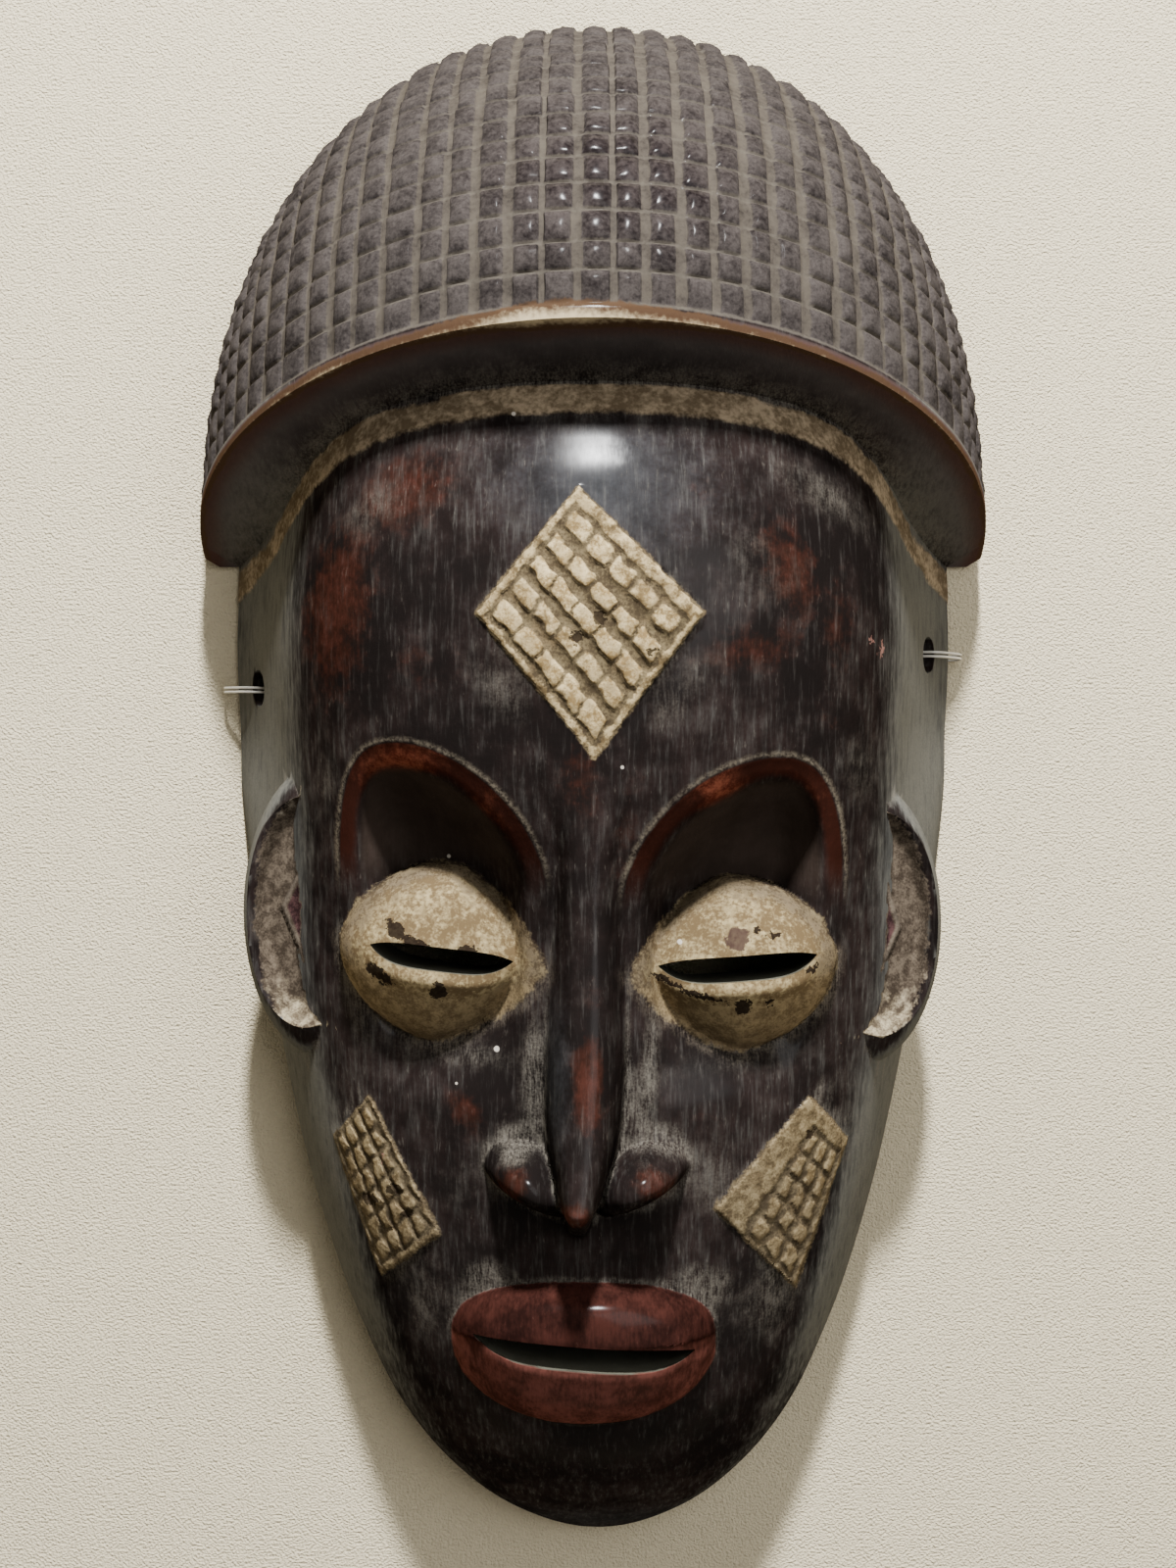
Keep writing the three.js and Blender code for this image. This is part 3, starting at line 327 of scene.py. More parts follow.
def eye_reach(x, y, half):
    """0 in the middle of an eye and 1 on its outline. The corner by the nose is more pointed."""
    eye = half["eye"]
    dx, dy = x - eye["centre"][0], y - eye["centre"][1]
    a = (dx * cos(eye["tilt"]) + dy * sin(eye["tilt"])) / (eye["length"] / 2)
    b = (dy * cos(eye["tilt"]) - dx * sin(eye["tilt"])) / (eye["height"] / 2)
    along = a / np.maximum(np.hypot(a, b), 1e-9)
    power = lerp(EYE_INNER_POWER, EYE_OUTER_POWER, smoothstep(along * half["side"], -0.5, 0.5))
    return (np.abs(a) ** power + np.abs(b) ** power) ** (1 / power)


def lip_reach(x, y):
    a = (x - LIPS["centre"][0]) / LIPS["half_length"]
    dy = y - LIPS["centre"][1]
    b = dy / np.where(dy > 0, LIPS["upper"], LIPS["lower"])
    power = np.where(dy > 0, LIPS["upper_power"], LIPS["lower_power"])
    return (np.abs(a) ** power + np.abs(b) ** power) ** (1 / power)


def slot_depth(x, y, slot):
    """Distance inside a pointed slot from its edge, negative outside, and how far along it lies."""
    (x0, y0), (x1, y1) = slot["from"], slot["to"]
    half = hypot(x1 - x0, y1 - y0) / 2
    turn = np.arctan2(y1 - y0, x1 - x0)
    dx, dy = x - (x0 + x1) / 2, y - (y0 + y1) / 2
    a, b = dx * cos(turn) + dy * sin(turn), dy * cos(turn) - dx * sin(turn)
    room = 1 - np.minimum(np.abs(a / half), 1.5) ** SLOT_POWER
    return np.minimum(slot["rise"] * room - b, b + slot["sag"] * room), a / half, b


def underside_from(top, y, edge):
    """The top as it stands above the edge, and a steep underside that turns away below it."""
    past = np.maximum(edge + NOSE_ROUNDING - y, 0)
    turned = 2 * NOSE_ROUNDING
    return top - NOSE_SLOPE * np.where(past < turned, past**2 / (2 * turned), past - NOSE_ROUNDING)


def nose(x, y):
    reach = np.abs(x - nose_centre(y)) / nose_half_width(y)
    front = nose_ridge(np.maximum(y, NOSE_END_Y)) - NOSE_SIDE_DROP * reach**NOSE_POWER
    return np.where(y > NOSE_ROOT_Y, 0, underside_from(front, y, NOSE_TIP_Y))


def wing_reach(x, y, half):
    wing = half["wing"]
    dx, dy = x - wing["centre"][0], y - wing["centre"][1]
    c, s = cos(wing["tilt"]), sin(wing["tilt"])
    return np.hypot((dx * c + dy * s) / wing["radii"][0], (dy * c - dx * s) / wing["radii"][1])


def panel_place(x, y, corners):
    """Where a point lies in a four-sided panel: shares along its first and last sides."""
    a, b, c, d = [np.array(corner, float) for corner in corners]
    first, last, skew = b - a, d - a, a - b - d + c
    s, t = np.full_like(x, 0.5), np.full_like(x, 0.5)
    for _ in range(6):
        off_x = a[0] + first[0] * s + last[0] * t + skew[0] * s * t - x
        off_y = a[1] + first[1] * s + last[1] * t + skew[1] * s * t - y
        x_by_s, x_by_t = first[0] + skew[0] * t, last[0] + skew[0] * s
        y_by_s, y_by_t = first[1] + skew[1] * t, last[1] + skew[1] * s
        area = x_by_s * y_by_t - x_by_t * y_by_s
        area = np.where(np.abs(area) < 1e-6, 1e-6, area)
        s = np.clip(s - (off_x * y_by_t - off_y * x_by_t) / area, -3, 4)
        t = np.clip(t - (off_y * x_by_s - off_x * y_by_s) / area, -3, 4)
    return s, t


def beside_groove(share, count, block, other_share, wander, width, floor):
    """How proud the wood stands beside the grooves that run one way, and where the last ones are."""
    line = np.round(share * count)
    away = np.abs((share * count - line) * block + wander)
    past_end = (other_share < -GROOVE_END) | (other_share > 1 + GROOVE_END)
    away = np.where(past_end | (line < 0) | (line > count), 9, away)
    last = (line <= 0) | (line >= count)
    return smoothstep(away, np.where(last, 0, width * floor), np.where(last, BORDER_STEP, width)), last


def panel_depths(x, y, panel):
    """Distance inside a panel's outline, and how proud its blocks stand there, from 0 to 1."""
    corners = panel["corners"]
    s, t = panel_place(x, y, corners)
    long_s = hypot(corners[1][0] - corners[0][0], corners[1][1] - corners[0][1])
    long_t = hypot(corners[3][0] - corners[0][0], corners[3][1] - corners[0][1])
    inside = np.minimum(np.minimum(s, 1 - s) * long_s, np.minimum(t, 1 - t) * long_t)
    low_s, high_s, low_t, high_t = panel["border"]
    span_s, span_t = long_s - low_s - high_s, long_t - low_t - high_t
    share_s, share_t = (s * long_s - low_s) / span_s, (t * long_t - low_t) / span_t
    ns, nt = panel["count"]
    wide, narrow = panel["grooves"]
    wobble = 0.35 * np.sin(x * 0.9 + 2 * np.sin(y * 0.5)) + 0.25 * np.sin(y * 1.3 + x * 0.4)
    proud_s, _ = beside_groove(share_s, ns, span_s / ns, share_t, wobble * 0.8, wide, 0.45)
    proud_t, ends_t = beside_groove(share_t, nt, span_t / nt, share_s, wobble * 0.6, narrow, 0.3)
    block = np.floor(share_s * ns) * 3.7 + np.floor(share_t * nt) * 5.3 + corners[0][0]
    height = 1 - BLOCK_SPREAD * (0.5 + 0.5 * np.sin(block * 12.9898))
    in_border = (share_s < 0) | (share_s > 1) | (share_t < 0) | (share_t > 1)
    height = np.where(in_border, BORDER_PROUD, height)
    return inside, height * proud_s * np.where(ends_t, lerp(0.35, 1, proud_t), lerp(0.4, 1, proud_t))


def band_depth(x, y, z):
    """Distance below the ledge of the hair, along the face."""
    return RIM_FOOT_Y + RIM_LEAN * (z - RIM_FOOT_Z) / RIM_RISE - RIM_LIP - y


def swell(distance, height, middle, width):
    """A soft ridge of the given height and width along the line where the distance is the middle."""
    return height * np.exp(-(((distance - middle) / width) ** 2))


def eyeball(x, y, half):
    """The dome of an eye, with a lid rolled along each side of its slit, and the eye's reach."""
    reach = eye_reach(x, y, half)
    dome = EYE_FLOOR + (EYE_CREST - EYE_FLOOR) * np.maximum(1 - reach**2, 0) ** EYE_ROUNDNESS
    depth, along, over = slot_depth(x, y, half["slit"])
    away = np.maximum(-depth, 0)
    lid = np.maximum(1 - along**2, 0) ** 0.5
    return dome + np.where(over < 0, swell(away, *LOWER_LID), swell(away, *UPPER_LID)) * lid, reach


def lips_height(skin, x, y):
    """The two lips, with a roll along the mouth slot, and their reach."""
    reach = lip_reach(x, y)
    edge_power = np.where(y > LIPS["centre"][1] + LIPS["seam"], LIPS["upper_edge"], LIPS["lower_edge"])
    lips = skin + LIPS["rise"] * np.maximum(1 - reach**edge_power, 0) ** LIPS["roundness"] - LIPS["sink"]
    depth, along, over = slot_depth(x, y, MOUTH_SLOT)
    roll = swell(depth, np.where(over < 0, LOWER_ROLL, UPPER_ROLL), MOUTH_ROLL_MIDDLE, MOUTH_ROLL_WIDTH)
    ripple = LIPS["ripple"] * np.sin(x * 0.31 + 1) * smoothstep(reach, 1, 0.8)
    return lips + (roll * smoothstep(np.abs(along), 1.05, 0.8) + ripple), reach


def face_height(x, y):
    """The front of the face: its skin, then each carved form that stands out of it in turn."""
    skin = bare_skin(x, y)
    z = skin.copy()
    for half in HALVES:
        z -= socket(x, y, half)
    bridge = nose(x, y)
    h = np.clip(0.5 + (z - bridge) / NOSE_BLEND, 0, 1)
    z = lerp(bridge, z, h) + NOSE_BLEND / 2 * h * (1 - h)
    for half in HALVES:
        dome, reach = eyeball(x, y, half)
        z = np.where(reach < 1, np.maximum(z, dome), z)
        wing = half["wing"]
        reach = wing_reach(x, y, half)
        edge = wing["centre"][1] - WING_EDGE_DROP + WING_EDGE_TILT * half["side"] * (x - wing["centre"][0])
        top = underside_from(wing["crest"] - WING_FALL * reach**WING_POWER, y, edge)
        z = np.where(reach < WING_REACH, np.maximum(z, top), z)
    lips, reach = lips_height(skin, x, y)
    z = np.where(reach < 1, np.maximum(z, lips), z)
    for panel in (FOREHEAD_PANEL, LEFT["panel"], RIGHT["panel"]):
        inside, proud = panel_depths(x, y, panel)
        crumbs = PANEL_CRUMBS * np.sin(x * 2.3 + np.sin(y * 1.9) * 2)
        crumbs *= np.sin(y * 2.7 + np.sin(x * 1.3) * 2)
        block = lerp(PANEL_FLOOR, PANEL_PROUD - 0.1, proud) + crumbs
        z = np.where(inside > 0, np.maximum(z, skin + block * smoothstep(inside, -0.3, 0.45)), z)
    under = band_depth(x, y, z)
    off_band = smoothstep(under, BAND_WIDTH - BAND_SOFTNESS, BAND_WIDTH + BAND_SOFTNESS)
    return np.maximum(z + BAND_PROUD * (1 - off_band) * (y > BAND_FROM_Y), 0)


def plan_point(u, v):
    """Plan of the face: two long sides, the top under the hair, and the chin as a fourth side."""
    def edge(y, side):
        return np.array([chin_shift(y) + side * face_half_width(y), y])

    def long(t, side):
        return edge(lerp(CHIN_CORNER, FACE_TOP, t), side)

    def chin(t):
        return edge(CHIN_CORNER + (CHIN_END - CHIN_CORNER) * np.sin(pi * t), np.where(t < 0.5, -1, 1))

    def top(t):
        widest = face_half_width(np.float64(FACE_TOP))
        return np.array([lerp(-1, 1, t) * widest, np.full_like(t, FACE_TOP)])

    zero, one = np.zeros_like(u), np.ones_like(u)
    sides = lerp(long(v, -1), long(v, 1), u)
    ends = lerp(chin(u), top(u), v)
    corners = lerp(lerp(chin(zero), chin(one), u), lerp(top(zero), top(one), u), v)
    return sides + ends - corners


def coordinates(mesh):
    co = np.empty(len(mesh.vertices) * 3, np.float32)
    mesh.vertices.foreach_get("co", co)
    return co.reshape(-1, 3).astype(float)


def placed_grid(name, across, along, place):
    """A grid whose points go to place(u, v), closed by a fan to the point that place gives last."""
    bm = bmesh.new()
    bmesh.ops.create_grid(bm, x_segments=across, y_segments=along, size=1)
    mesh = bpy.data.meshes.new(name)
    bm.to_mesh(mesh)
    flat = coordinates(mesh)
    points, apex = place(flat[:, 0] / 2 + 0.5, flat[:, 1] / 2 + 0.5)
    mesh.vertices.foreach_set("co", points.astype(np.float32).ravel())
    bm.free()
    bm = bmesh.new()
    bm.from_mesh(mesh)
    rim = [e for e in bm.edges if e.is_boundary]
    grown = bmesh.ops.extrude_edge_only(bm, edges=rim)["geom"]
    outer = [g for g in grown if isinstance(g, bmesh.types.BMVert)]
    bmesh.ops.pointmerge(bm, verts=outer, merge_co=apex)
    bmesh.ops.recalc_face_normals(bm, faces=bm.faces)
    bm.to_mesh(mesh)
    bm.free()
    made = bpy.data.objects.new(name, mesh)
    scene.collection.objects.link(made)
    return made


BROW_SNAP = 0.3
EDGE_CROWDING, CHIN_CROWDING = 0.55, 1.15


def face_place(u, v):
    """Points of the face, crowded toward its edges. Those beside a brow's edge are moved onto it."""
    x, y = plan_point(lerp(u, (1 - np.cos(pi * u)) / 2, EDGE_CROWDING), v**CHIN_CROWDING)
    for half in HALVES:
        depth, dx, dy = under_brow(x, y, half)
        low = half["brow"]["peak"][1] - half["brow"]["height"]
        near = (np.abs(depth) < BROW_SNAP) & (y > low)
        x, y = np.where(near, x - depth * dx, x), np.where(near, y - depth * dy, y)
    on_rim = (u < 1e-4) | (u > 1 - 1e-4) | (v < 1e-4)
    z = np.where(on_rim, 0, face_height(x, y))
    return np.stack([x, y, z], 1), (0, -20, -25)


FACE_ACROSS, FACE_ALONG = 360, 520
FACE_KEPT = 0.25
mask = placed_grid("carved_mask_form", FACE_ACROSS, FACE_ALONG, face_place)
thin = mask.modifiers.new("thin", "DECIMATE")
thin.ratio = FACE_KEPT

# Hair cap. It is carved from the same block: a round cap behind a leaning ledge, cut into 41
# columns by flat-bottomed grooves and crossed by finer V cuts, so that small pillows stand proud.
HAIR_HALF_WIDTH, HAIR_BACK_CENTRE_Y = 94.6, 61.5
HAIR_PLAN_POWER, HAIR_PROFILE_POWER = 2.1, 1.85
HAIR_TAPER, HAIR_TAPER_POWER = 0.08, 0.7
HAIR_COLUMNS, HAIR_ROW_PITCH, HAIR_MARGIN = 41, 7.2, 3
HAIR_ROWS = 21
GROOVE_DEPTH, CROSS_DEPTH, PILLOW_DEPTH = 1.45, 0.75, 0.6
GROOVE_FLOOR, GROOVE_TOP, CROSS_TOP = 0.1, 0.17, 0.12
RIPPLE_LEFT, RIPPLE_RIGHT = 0.2, 0.55
HAIR_APEX_DEPTH = 125
# The lines of the grid between two grooves, and between two cross cuts, as shares of a block.
COLUMN_STOPS = [0, GROOVE_FLOOR, GROOVE_TOP, 0.32, 0.5, 0.68, 0.83, 0.9]
ROW_STOPS = [0, 0.05, CROSS_TOP, 0.3, 0.5, 0.7, 0.88, 0.95]
MARGIN_STOPS = [-0.4, -0.25, -0.1]
draw = np.random.default_rng(41)


def hair_curves(angles):
    """For each angle round the rim, the curve from the rim to the floor behind it."""
    rim_x = HAIR_HALF_WIDTH * np.sin(angles)
    rim_y = RIM_FOOT_Y + RIM_LEAN * np.cos(angles)
    rim_z = RIM_FOOT_Z + RIM_RISE * np.cos(angles)
    back_x = rim_x * (1 - HAIR_TAPER * np.cos(angles))
    part = 1 - np.abs(back_x / HAIR_HALF_WIDTH) ** HAIR_PLAN_POWER
    back_y = lerp(HAIR_BACK_CENTRE_Y, HEAD_END, np.maximum(part, 0.003) ** (1 / HAIR_PLAN_POWER))
    t = np.linspace(0, pi / 2, 121)[None, :]
    power = 2 / HAIR_PROFILE_POWER
    y = rim_y[:, None] + (back_y - rim_y)[:, None] * np.sin(t) ** power
    z = rim_z[:, None] * np.maximum(np.cos(t), 0) ** power
    z[:, -1] = 0
    x = lerp(back_x[:, None], rim_x[:, None], (z / rim_z[:, None]) ** HAIR_TAPER_POWER)
    points = np.stack([x, y, z], 2)
    steps = np.linalg.norm(np.diff(points, axis=1), axis=2)
    return points, np.insert(np.cumsum(steps, axis=1), 0, 0, axis=1)


def hair_surface(angles, distances):
    """Points of the plain cap, one row of distances for each angle."""
    points, lengths = hair_curves(angles)
    made = np.empty((len(angles), distances.shape[1], 3))
    for i in range(len(angles)):
        for k in range(3):
            made[i, :, k] = np.interp(distances[i], lengths[i], points[i, :, k])
        made[i, :, 2] -= np.maximum(distances[i] - lengths[i, -1], 0)
    return made


column_shift = draw.normal(0, 0.06, HAIR_COLUMNS + 1)
column_shift[[0, -1]] = 0
column_width = draw.uniform(0.8, 1.25, HAIR_COLUMNS + 1)
block_lift = draw.uniform(-0.25, 0.05, (HAIR_COLUMNS + 1, HAIR_ROWS + 1))
row_shift = draw.normal(0, 0.022, (HAIR_COLUMNS + 1, HAIR_ROWS + 1)).cumsum(0)
row_shift = 0.13 * np.tanh((row_shift - row_shift.mean(0)) / 0.13)
row_shift[:, [0, -1]] = 0
wall_jitter = [draw.normal(0, spread, (HAIR_COLUMNS + 1, HAIR_ROWS + 1)).clip(-2 * spread, 2 * spread)
               for spread in (0.2, 0.2, 0.07, 0.07)]
column_lines = np.array([k + s for k in range(HAIR_COLUMNS) for s in COLUMN_STOPS] + [HAIR_COLUMNS])
row_lines = np.array(MARGIN_STOPS + [k + s for k in range(HAIR_ROWS) for s in ROW_STOPS] + [HAIR_ROWS])


def block_places(column, nearest, off, row, row_share):
    """The angle of each column line, and the distance of each row line from the rim."""
    places = column_lines + off * (column_width[nearest] - 1) * (np.abs(off) < 0.3) + column_shift[nearest]
    angles = pi * (np.clip(places, 0, HAIR_COLUMNS) / HAIR_COLUMNS - 0.5)
    wander = row_shift[column]
    wander = lerp(wander[:, row], wander[:, np.minimum(row + 1, HAIR_ROWS)], row_share)
    distances = HAIR_MARGIN + HAIR_ROW_PITCH * (row_lines + wander)
    margin = HAIR_MARGIN * (1 - row_lines / MARGIN_STOPS[0])
    return angles, np.where(row_lines < 0, margin, distances)


def hair_place(u, v):
    """Points of the cap, pressed in along the grooves and the cross cuts, with a pillow between."""
    i = np.rint(u * (len(column_lines) - 1)).astype(int)
    j = np.rint(v * (len(row_lines) - 1)).astype(int)
    column = np.floor(column_lines + 1e-9).astype(int)
    share = column_lines - column
    nearest = np.clip(np.where(share > 0.5, column + 1, column), 0, HAIR_COLUMNS)
    off = np.where(share > 0.5, share - 1, share)
    column = np.clip(column, 0, HAIR_COLUMNS)
    row = np.clip(np.floor(row_lines + 1e-9).astype(int), 0, HAIR_ROWS)
    row_share = row_lines - row
    angles, distances = block_places(column, nearest, off, row, np.clip(row_share, 0, 1))
    base = hair_surface(angles, distances)
    across, down = np.gradient(base, axis=0), np.gradient(base, axis=1)
    normal = np.cross(across, down)
    for vectors in (normal, across, down):
        vectors /= np.maximum(np.linalg.norm(vectors, axis=2, keepdims=True), 1e-9)

    in_blocks = (row_lines >= 0)[None, :]
    from_column = np.abs(off)[:, None]
    near_wall = smoothstep(from_column, 0.5, GROOVE_TOP) * smoothstep(from_column, 0, GROOVE_FLOOR)
    near_cross = smoothstep(np.minimum(row_share, 1 - row_lines + row), 0.5, CROSS_TOP) * (row_lines > 0)
    ripple = np.where(angles > 0.1, RIPPLE_RIGHT, RIPPLE_LEFT)[:, None]
    ripple = np.sin(pi * np.clip(row_share, 0, 1)) * ripple
    jitter = [drawn[column][:, row] for drawn in wall_jitter]
    slide = np.where((share <= 0.5)[:, None], jitter[0] + ripple, jitter[1])
    slide = slide * near_wall * (row_lines > 0) * (np.abs(angles) < 1.5)[:, None]
    dip = np.where(row_share <= 0.5, jitter[2], jitter[3]) * near_cross
    base = base + across * slide[:, :, None] + down * dip[:, :, None]

    from_row = row_lines - np.floor(row_lines + 1e-9)
    from_row = np.minimum(from_row, 1 - from_row)[None, :]
    wall = smoothstep(from_column, GROOVE_FLOOR, GROOVE_TOP)
    cross = smoothstep(from_row, 0, CROSS_TOP)
    pillow = smoothstep(from_column, GROOVE_FLOOR, 0.5) * smoothstep(from_row, -0.05, 0.5)
    pillow = PILLOW_DEPTH * (pillow - 1)
    lift = -GROOVE_DEPTH * (1 - wall) - CROSS_DEPTH * (1 - cross) * wall + pillow * wall
    lift = lift + block_lift[column][:, row] * wall * cross
    lift = np.where(in_blocks, np.minimum(lift, 0), 0)
    points = base + normal * (lift * smoothstep(row_lines, -0.1, 0.15))[:, :, None]
    points[:, 0, :] = base[:, 0, :]
    full = np.ones_like(lift)
    hair_place.kept = {
        "points": points, "wall": wall * full, "cross": cross * full, "in_blocks": in_blocks * full,
    }
    apex_y = RIM_FOOT_Y - (RIM_FOOT_Z + HAIR_APEX_DEPTH) * (RIM_LEAN / RIM_RISE)
    return points[i, j], (0, apex_y, -HAIR_APEX_DEPTH)


hair = placed_grid("hair_form", len(column_lines) - 1, len(row_lines) - 1, hair_place)

# Ears, hollow and cuts. The ears are small cups with a leaf inside. The back is hollowed with an
# adze, the slits and the mouth are cut through from the front, and the side holes are burned through.
HOLLOW_TOP_Y, HOLLOW_CHIN_Y, HOLLOW_END_DEPTH = 166, -170, 1200
STROKE_WIDTH, STROKE_LENGTH, STROKE_LANE, STROKE_DEPTH = 5.2, 9.5, 16.3, 0.9
EAR_RADIUS_X, EAR_RADIUS_Z, EAR_LIP, EAR_Z = 18, 17, 4, 34
DISH_MIDDLE, DISH_RADIUS_X, DISH_FLOOR_Z, DISH_RIM_RISE, DISH_SLOPE = 17, 15.0, 34.6, 5.5, 0.52
CUP_MIDDLE, CUP_HALF_WIDTH, CUP_MARGIN, CUP_TOP_Z = 15.5, 17, 4.5, 160
SLOT_SEGMENTS, SLOT_START_Z, SLOT_RISES = 56, -10, [48, 8, *[2.5] * 16, 30]
HOLE_RADIUS, HOLE_Z, HOLE_TILT = 4.4, 13, radians(28)
HOLE_MIDDLE_X, HOLE_CUT_LENGTH = 78, 60
BOW_HEIGHT, BOW_HALF_LENGTH, BOW_CENTRE_Y = 3, 45, 27
FLOOR_CUT_REACH, FLOOR_CUT_ROWS = 260, 220
hollow_half_width = dome_through([
    (HOLLOW_CHIN_Y, 0), (-157, 25), (-140, 38.5), (-118, 49), (-90, 58.5), (-60, 65.5), (-20, 73),
    (28, 77.5), (60, 78), (100, 75.5), (130, 62), (152, 41), (HOLLOW_TOP_Y, 0),
])
hollow_height = dome_through([
    (HOLLOW_CHIN_Y, 0), (-160, 21), (-140, 38), (-110, 47.5), (-80, 50), (-50, 49), (-22, 48),
    (5, 55), (30, 70), (48, 75), (75, 73), (115, 61), (150, 36), (HOLLOW_TOP_Y, 0),
])


def hollow_place(u, v):
    """A smooth dome under the face, cut in shallow overlapping adze strokes."""
    y = lerp((HOLLOW_TOP_Y + HOLLOW_CHIN_Y) / 2, HOLLOW_TOP_Y, -np.cos(pi * np.clip(v, 0.012, 0.988)))
    part = -np.cos(pi * u)
    x = chin_shift(y) + part * hollow_half_width(y)
    z = hollow_height(y) * section_shape(np.abs(part), y)
    strokes = np.abs(np.sin(x / STROKE_WIDTH + 1.7 * np.sin(y / 31)))
    strokes *= np.abs(np.sin(y / STROKE_LENGTH + np.floor(x / STROKE_LANE) * 1.9))
    cut = z - STROKE_DEPTH * (1 - strokes) * smoothstep(z, 0, 10)
    z = np.where((u < 1e-4) | (u > 1 - 1e-4), 0, cut)
    return np.stack([x, y, z], 1), (0, 0, -HOLLOW_END_DEPTH)


def solid_object(name, bm):
    bmesh.ops.recalc_face_normals(bm, faces=bm.faces)
    if bm.calc_volume(signed=True) < 0:
        bmesh.ops.reverse_faces(bm, faces=bm.faces)
    mesh = bpy.data.meshes.new(name)
    bm.to_mesh(mesh)
    bm.free()
    made = bpy.data.objects.new(name, mesh)
    scene.collection.objects.link(made)
    return made


def ellipsoid(name, centre, radii, around=40, down=28):
    bm = bmesh.new()
    bmesh.ops.create_uvsphere(bm, u_segments=around, v_segments=down, radius=1)
    bmesh.ops.scale(bm, vec=radii, verts=bm.verts)
    bmesh.ops.translate(bm, vec=centre, verts=bm.verts)
    return solid_object(name, bm)


def boolean(target, operation, operand):
    step = target.modifiers.new(operation.lower(), "BOOLEAN")
    step.operation = operation
    step.object = operand
    step.solver = "MANIFOLD"
    return operand


def ear_dish(x, y, half):
    """The floor of an ear's cup, with the three-cornered leaf that stands against the cheek."""
    side, place = half["side"], half["ear"]
    middle, tall = (place["top"] + place["bottom"]) / 2, (place["top"] - place["bottom"]) / 2
    outward = np.maximum(side * (x - place["reach"]) + DISH_MIDDLE, 0)
    reach = np.hypot(outward / DISH_RADIUS_X, (y - middle) / (tall + 0.3))
    inward = np.maximum(-side * (x - place["reach"]) - 3, 0)
    floor = DISH_FLOOR_Z + DISH_RIM_RISE * smoothstep(reach, 0.72, 1.0) + 30 * np.maximum(reach - 1, 0)
    (tx, ty), (ax, ay), (bx, by) = place["leaf"]
    above = ((ax - tx) * (y - ty) - (ay - ty) * (x - tx)) / hypot(ax - tx, ay - ty) * -side
    below = ((bx - ax) * (y - ay) - (by - ay) * (x - ax)) / hypot(bx - ax, by - ay) * -side
    into = np.minimum(above, below)
    leaf = swell(into, 1.5, 0, 0.8) + 0.5 * smoothstep(into, 0, 1) + 0.25 * np.clip(into, 0, 9)
    leaf = np.where(into > -0.6, leaf, 0) * smoothstep(reach, 1.02, 0.9)
    return reach, into, floor + DISH_SLOPE * inward + leaf


def ear(half):
    side, place = half["side"], half["ear"]
    middle, tall = (place["top"] + place["bottom"]) / 2, (place["top"] - place["bottom"]) / 2
    name = "ear_left" if side < 0 else "ear_right"
    shell = ellipsoid(name, (place["reach"] - side * EAR_RADIUS_X, middle, EAR_Z),
                      (EAR_RADIUS_X, tall + EAR_LIP, EAR_RADIUS_Z), 56, 40)

    def cup_place(u, v):
        x = place["reach"] - side * CUP_MIDDLE + (2 * u - 1) * CUP_HALF_WIDTH
        y = middle + (2 * v - 1) * (tall + CUP_MARGIN)
        return np.stack([x, y, ear_dish(x, y, half)[2]], 1), (place["reach"] - side * 15, middle, CUP_TOP_Z)

    cup = placed_grid(name + "_cup", 56, 104, cup_place)
    boolean(shell, "DIFFERENCE", cup)
    return [shell, cup]


def slot_cut(name, slot):
    """A pointed slot straight through the wood."""
    (x0, y0), (x1, y1) = slot["from"], slot["to"]
    half = hypot(x1 - x0, y1 - y0) / 2
    turn = np.arctan2(y1 - y0, x1 - x0)
    bm = bmesh.new()
    bmesh.ops.create_circle(bm, radius=1, segments=SLOT_SEGMENTS)
    for v in bm.verts:
        a = v.co.x * half
        b = (slot["rise"] if v.co.y > 0 else -slot["sag"]) * (1 - abs(v.co.x) ** SLOT_POWER)
        v.co = ((x0 + x1) / 2 + a * cos(turn) - b * sin(turn),
                (y0 + y1) / 2 + a * sin(turn) + b * cos(turn), SLOT_START_Z)
    ring = bm.edges[:]
    for rise in SLOT_RISES:
        grown = bmesh.ops.extrude_edge_only(bm, edges=ring)["geom"]
        ring = [g for g in grown if isinstance(g, bmesh.types.BMEdge)]
        raised = [g for g in grown if isinstance(g, bmesh.types.BMVert)]
        bmesh.ops.translate(bm, vec=(0, 0, rise), verts=raised)
    bmesh.ops.holes_fill(bm, edges=[e for e in bm.edges if e.is_boundary])
    return solid_object(name, bm)


def hole_cut(name, half):
    """A round hole from the side, which drops toward the hollow."""
    bm = bmesh.new()
    bmesh.ops.create_cone(bm, cap_ends=True, segments=32, radius1=HOLE_RADIUS, radius2=HOLE_RADIUS,
                          depth=HOLE_CUT_LENGTH)
    turn = half["side"] * HOLE_TILT
    for v in bm.verts:
        x = v.co.z * cos(turn) + v.co.x * sin(turn)
        z = v.co.z * sin(turn) - v.co.x * cos(turn)
        v.co = (half["side"] * HOLE_MIDDLE_X + x, half["hole"] + v.co.y, HOLE_Z + z)
    return solid_object(name, bm)


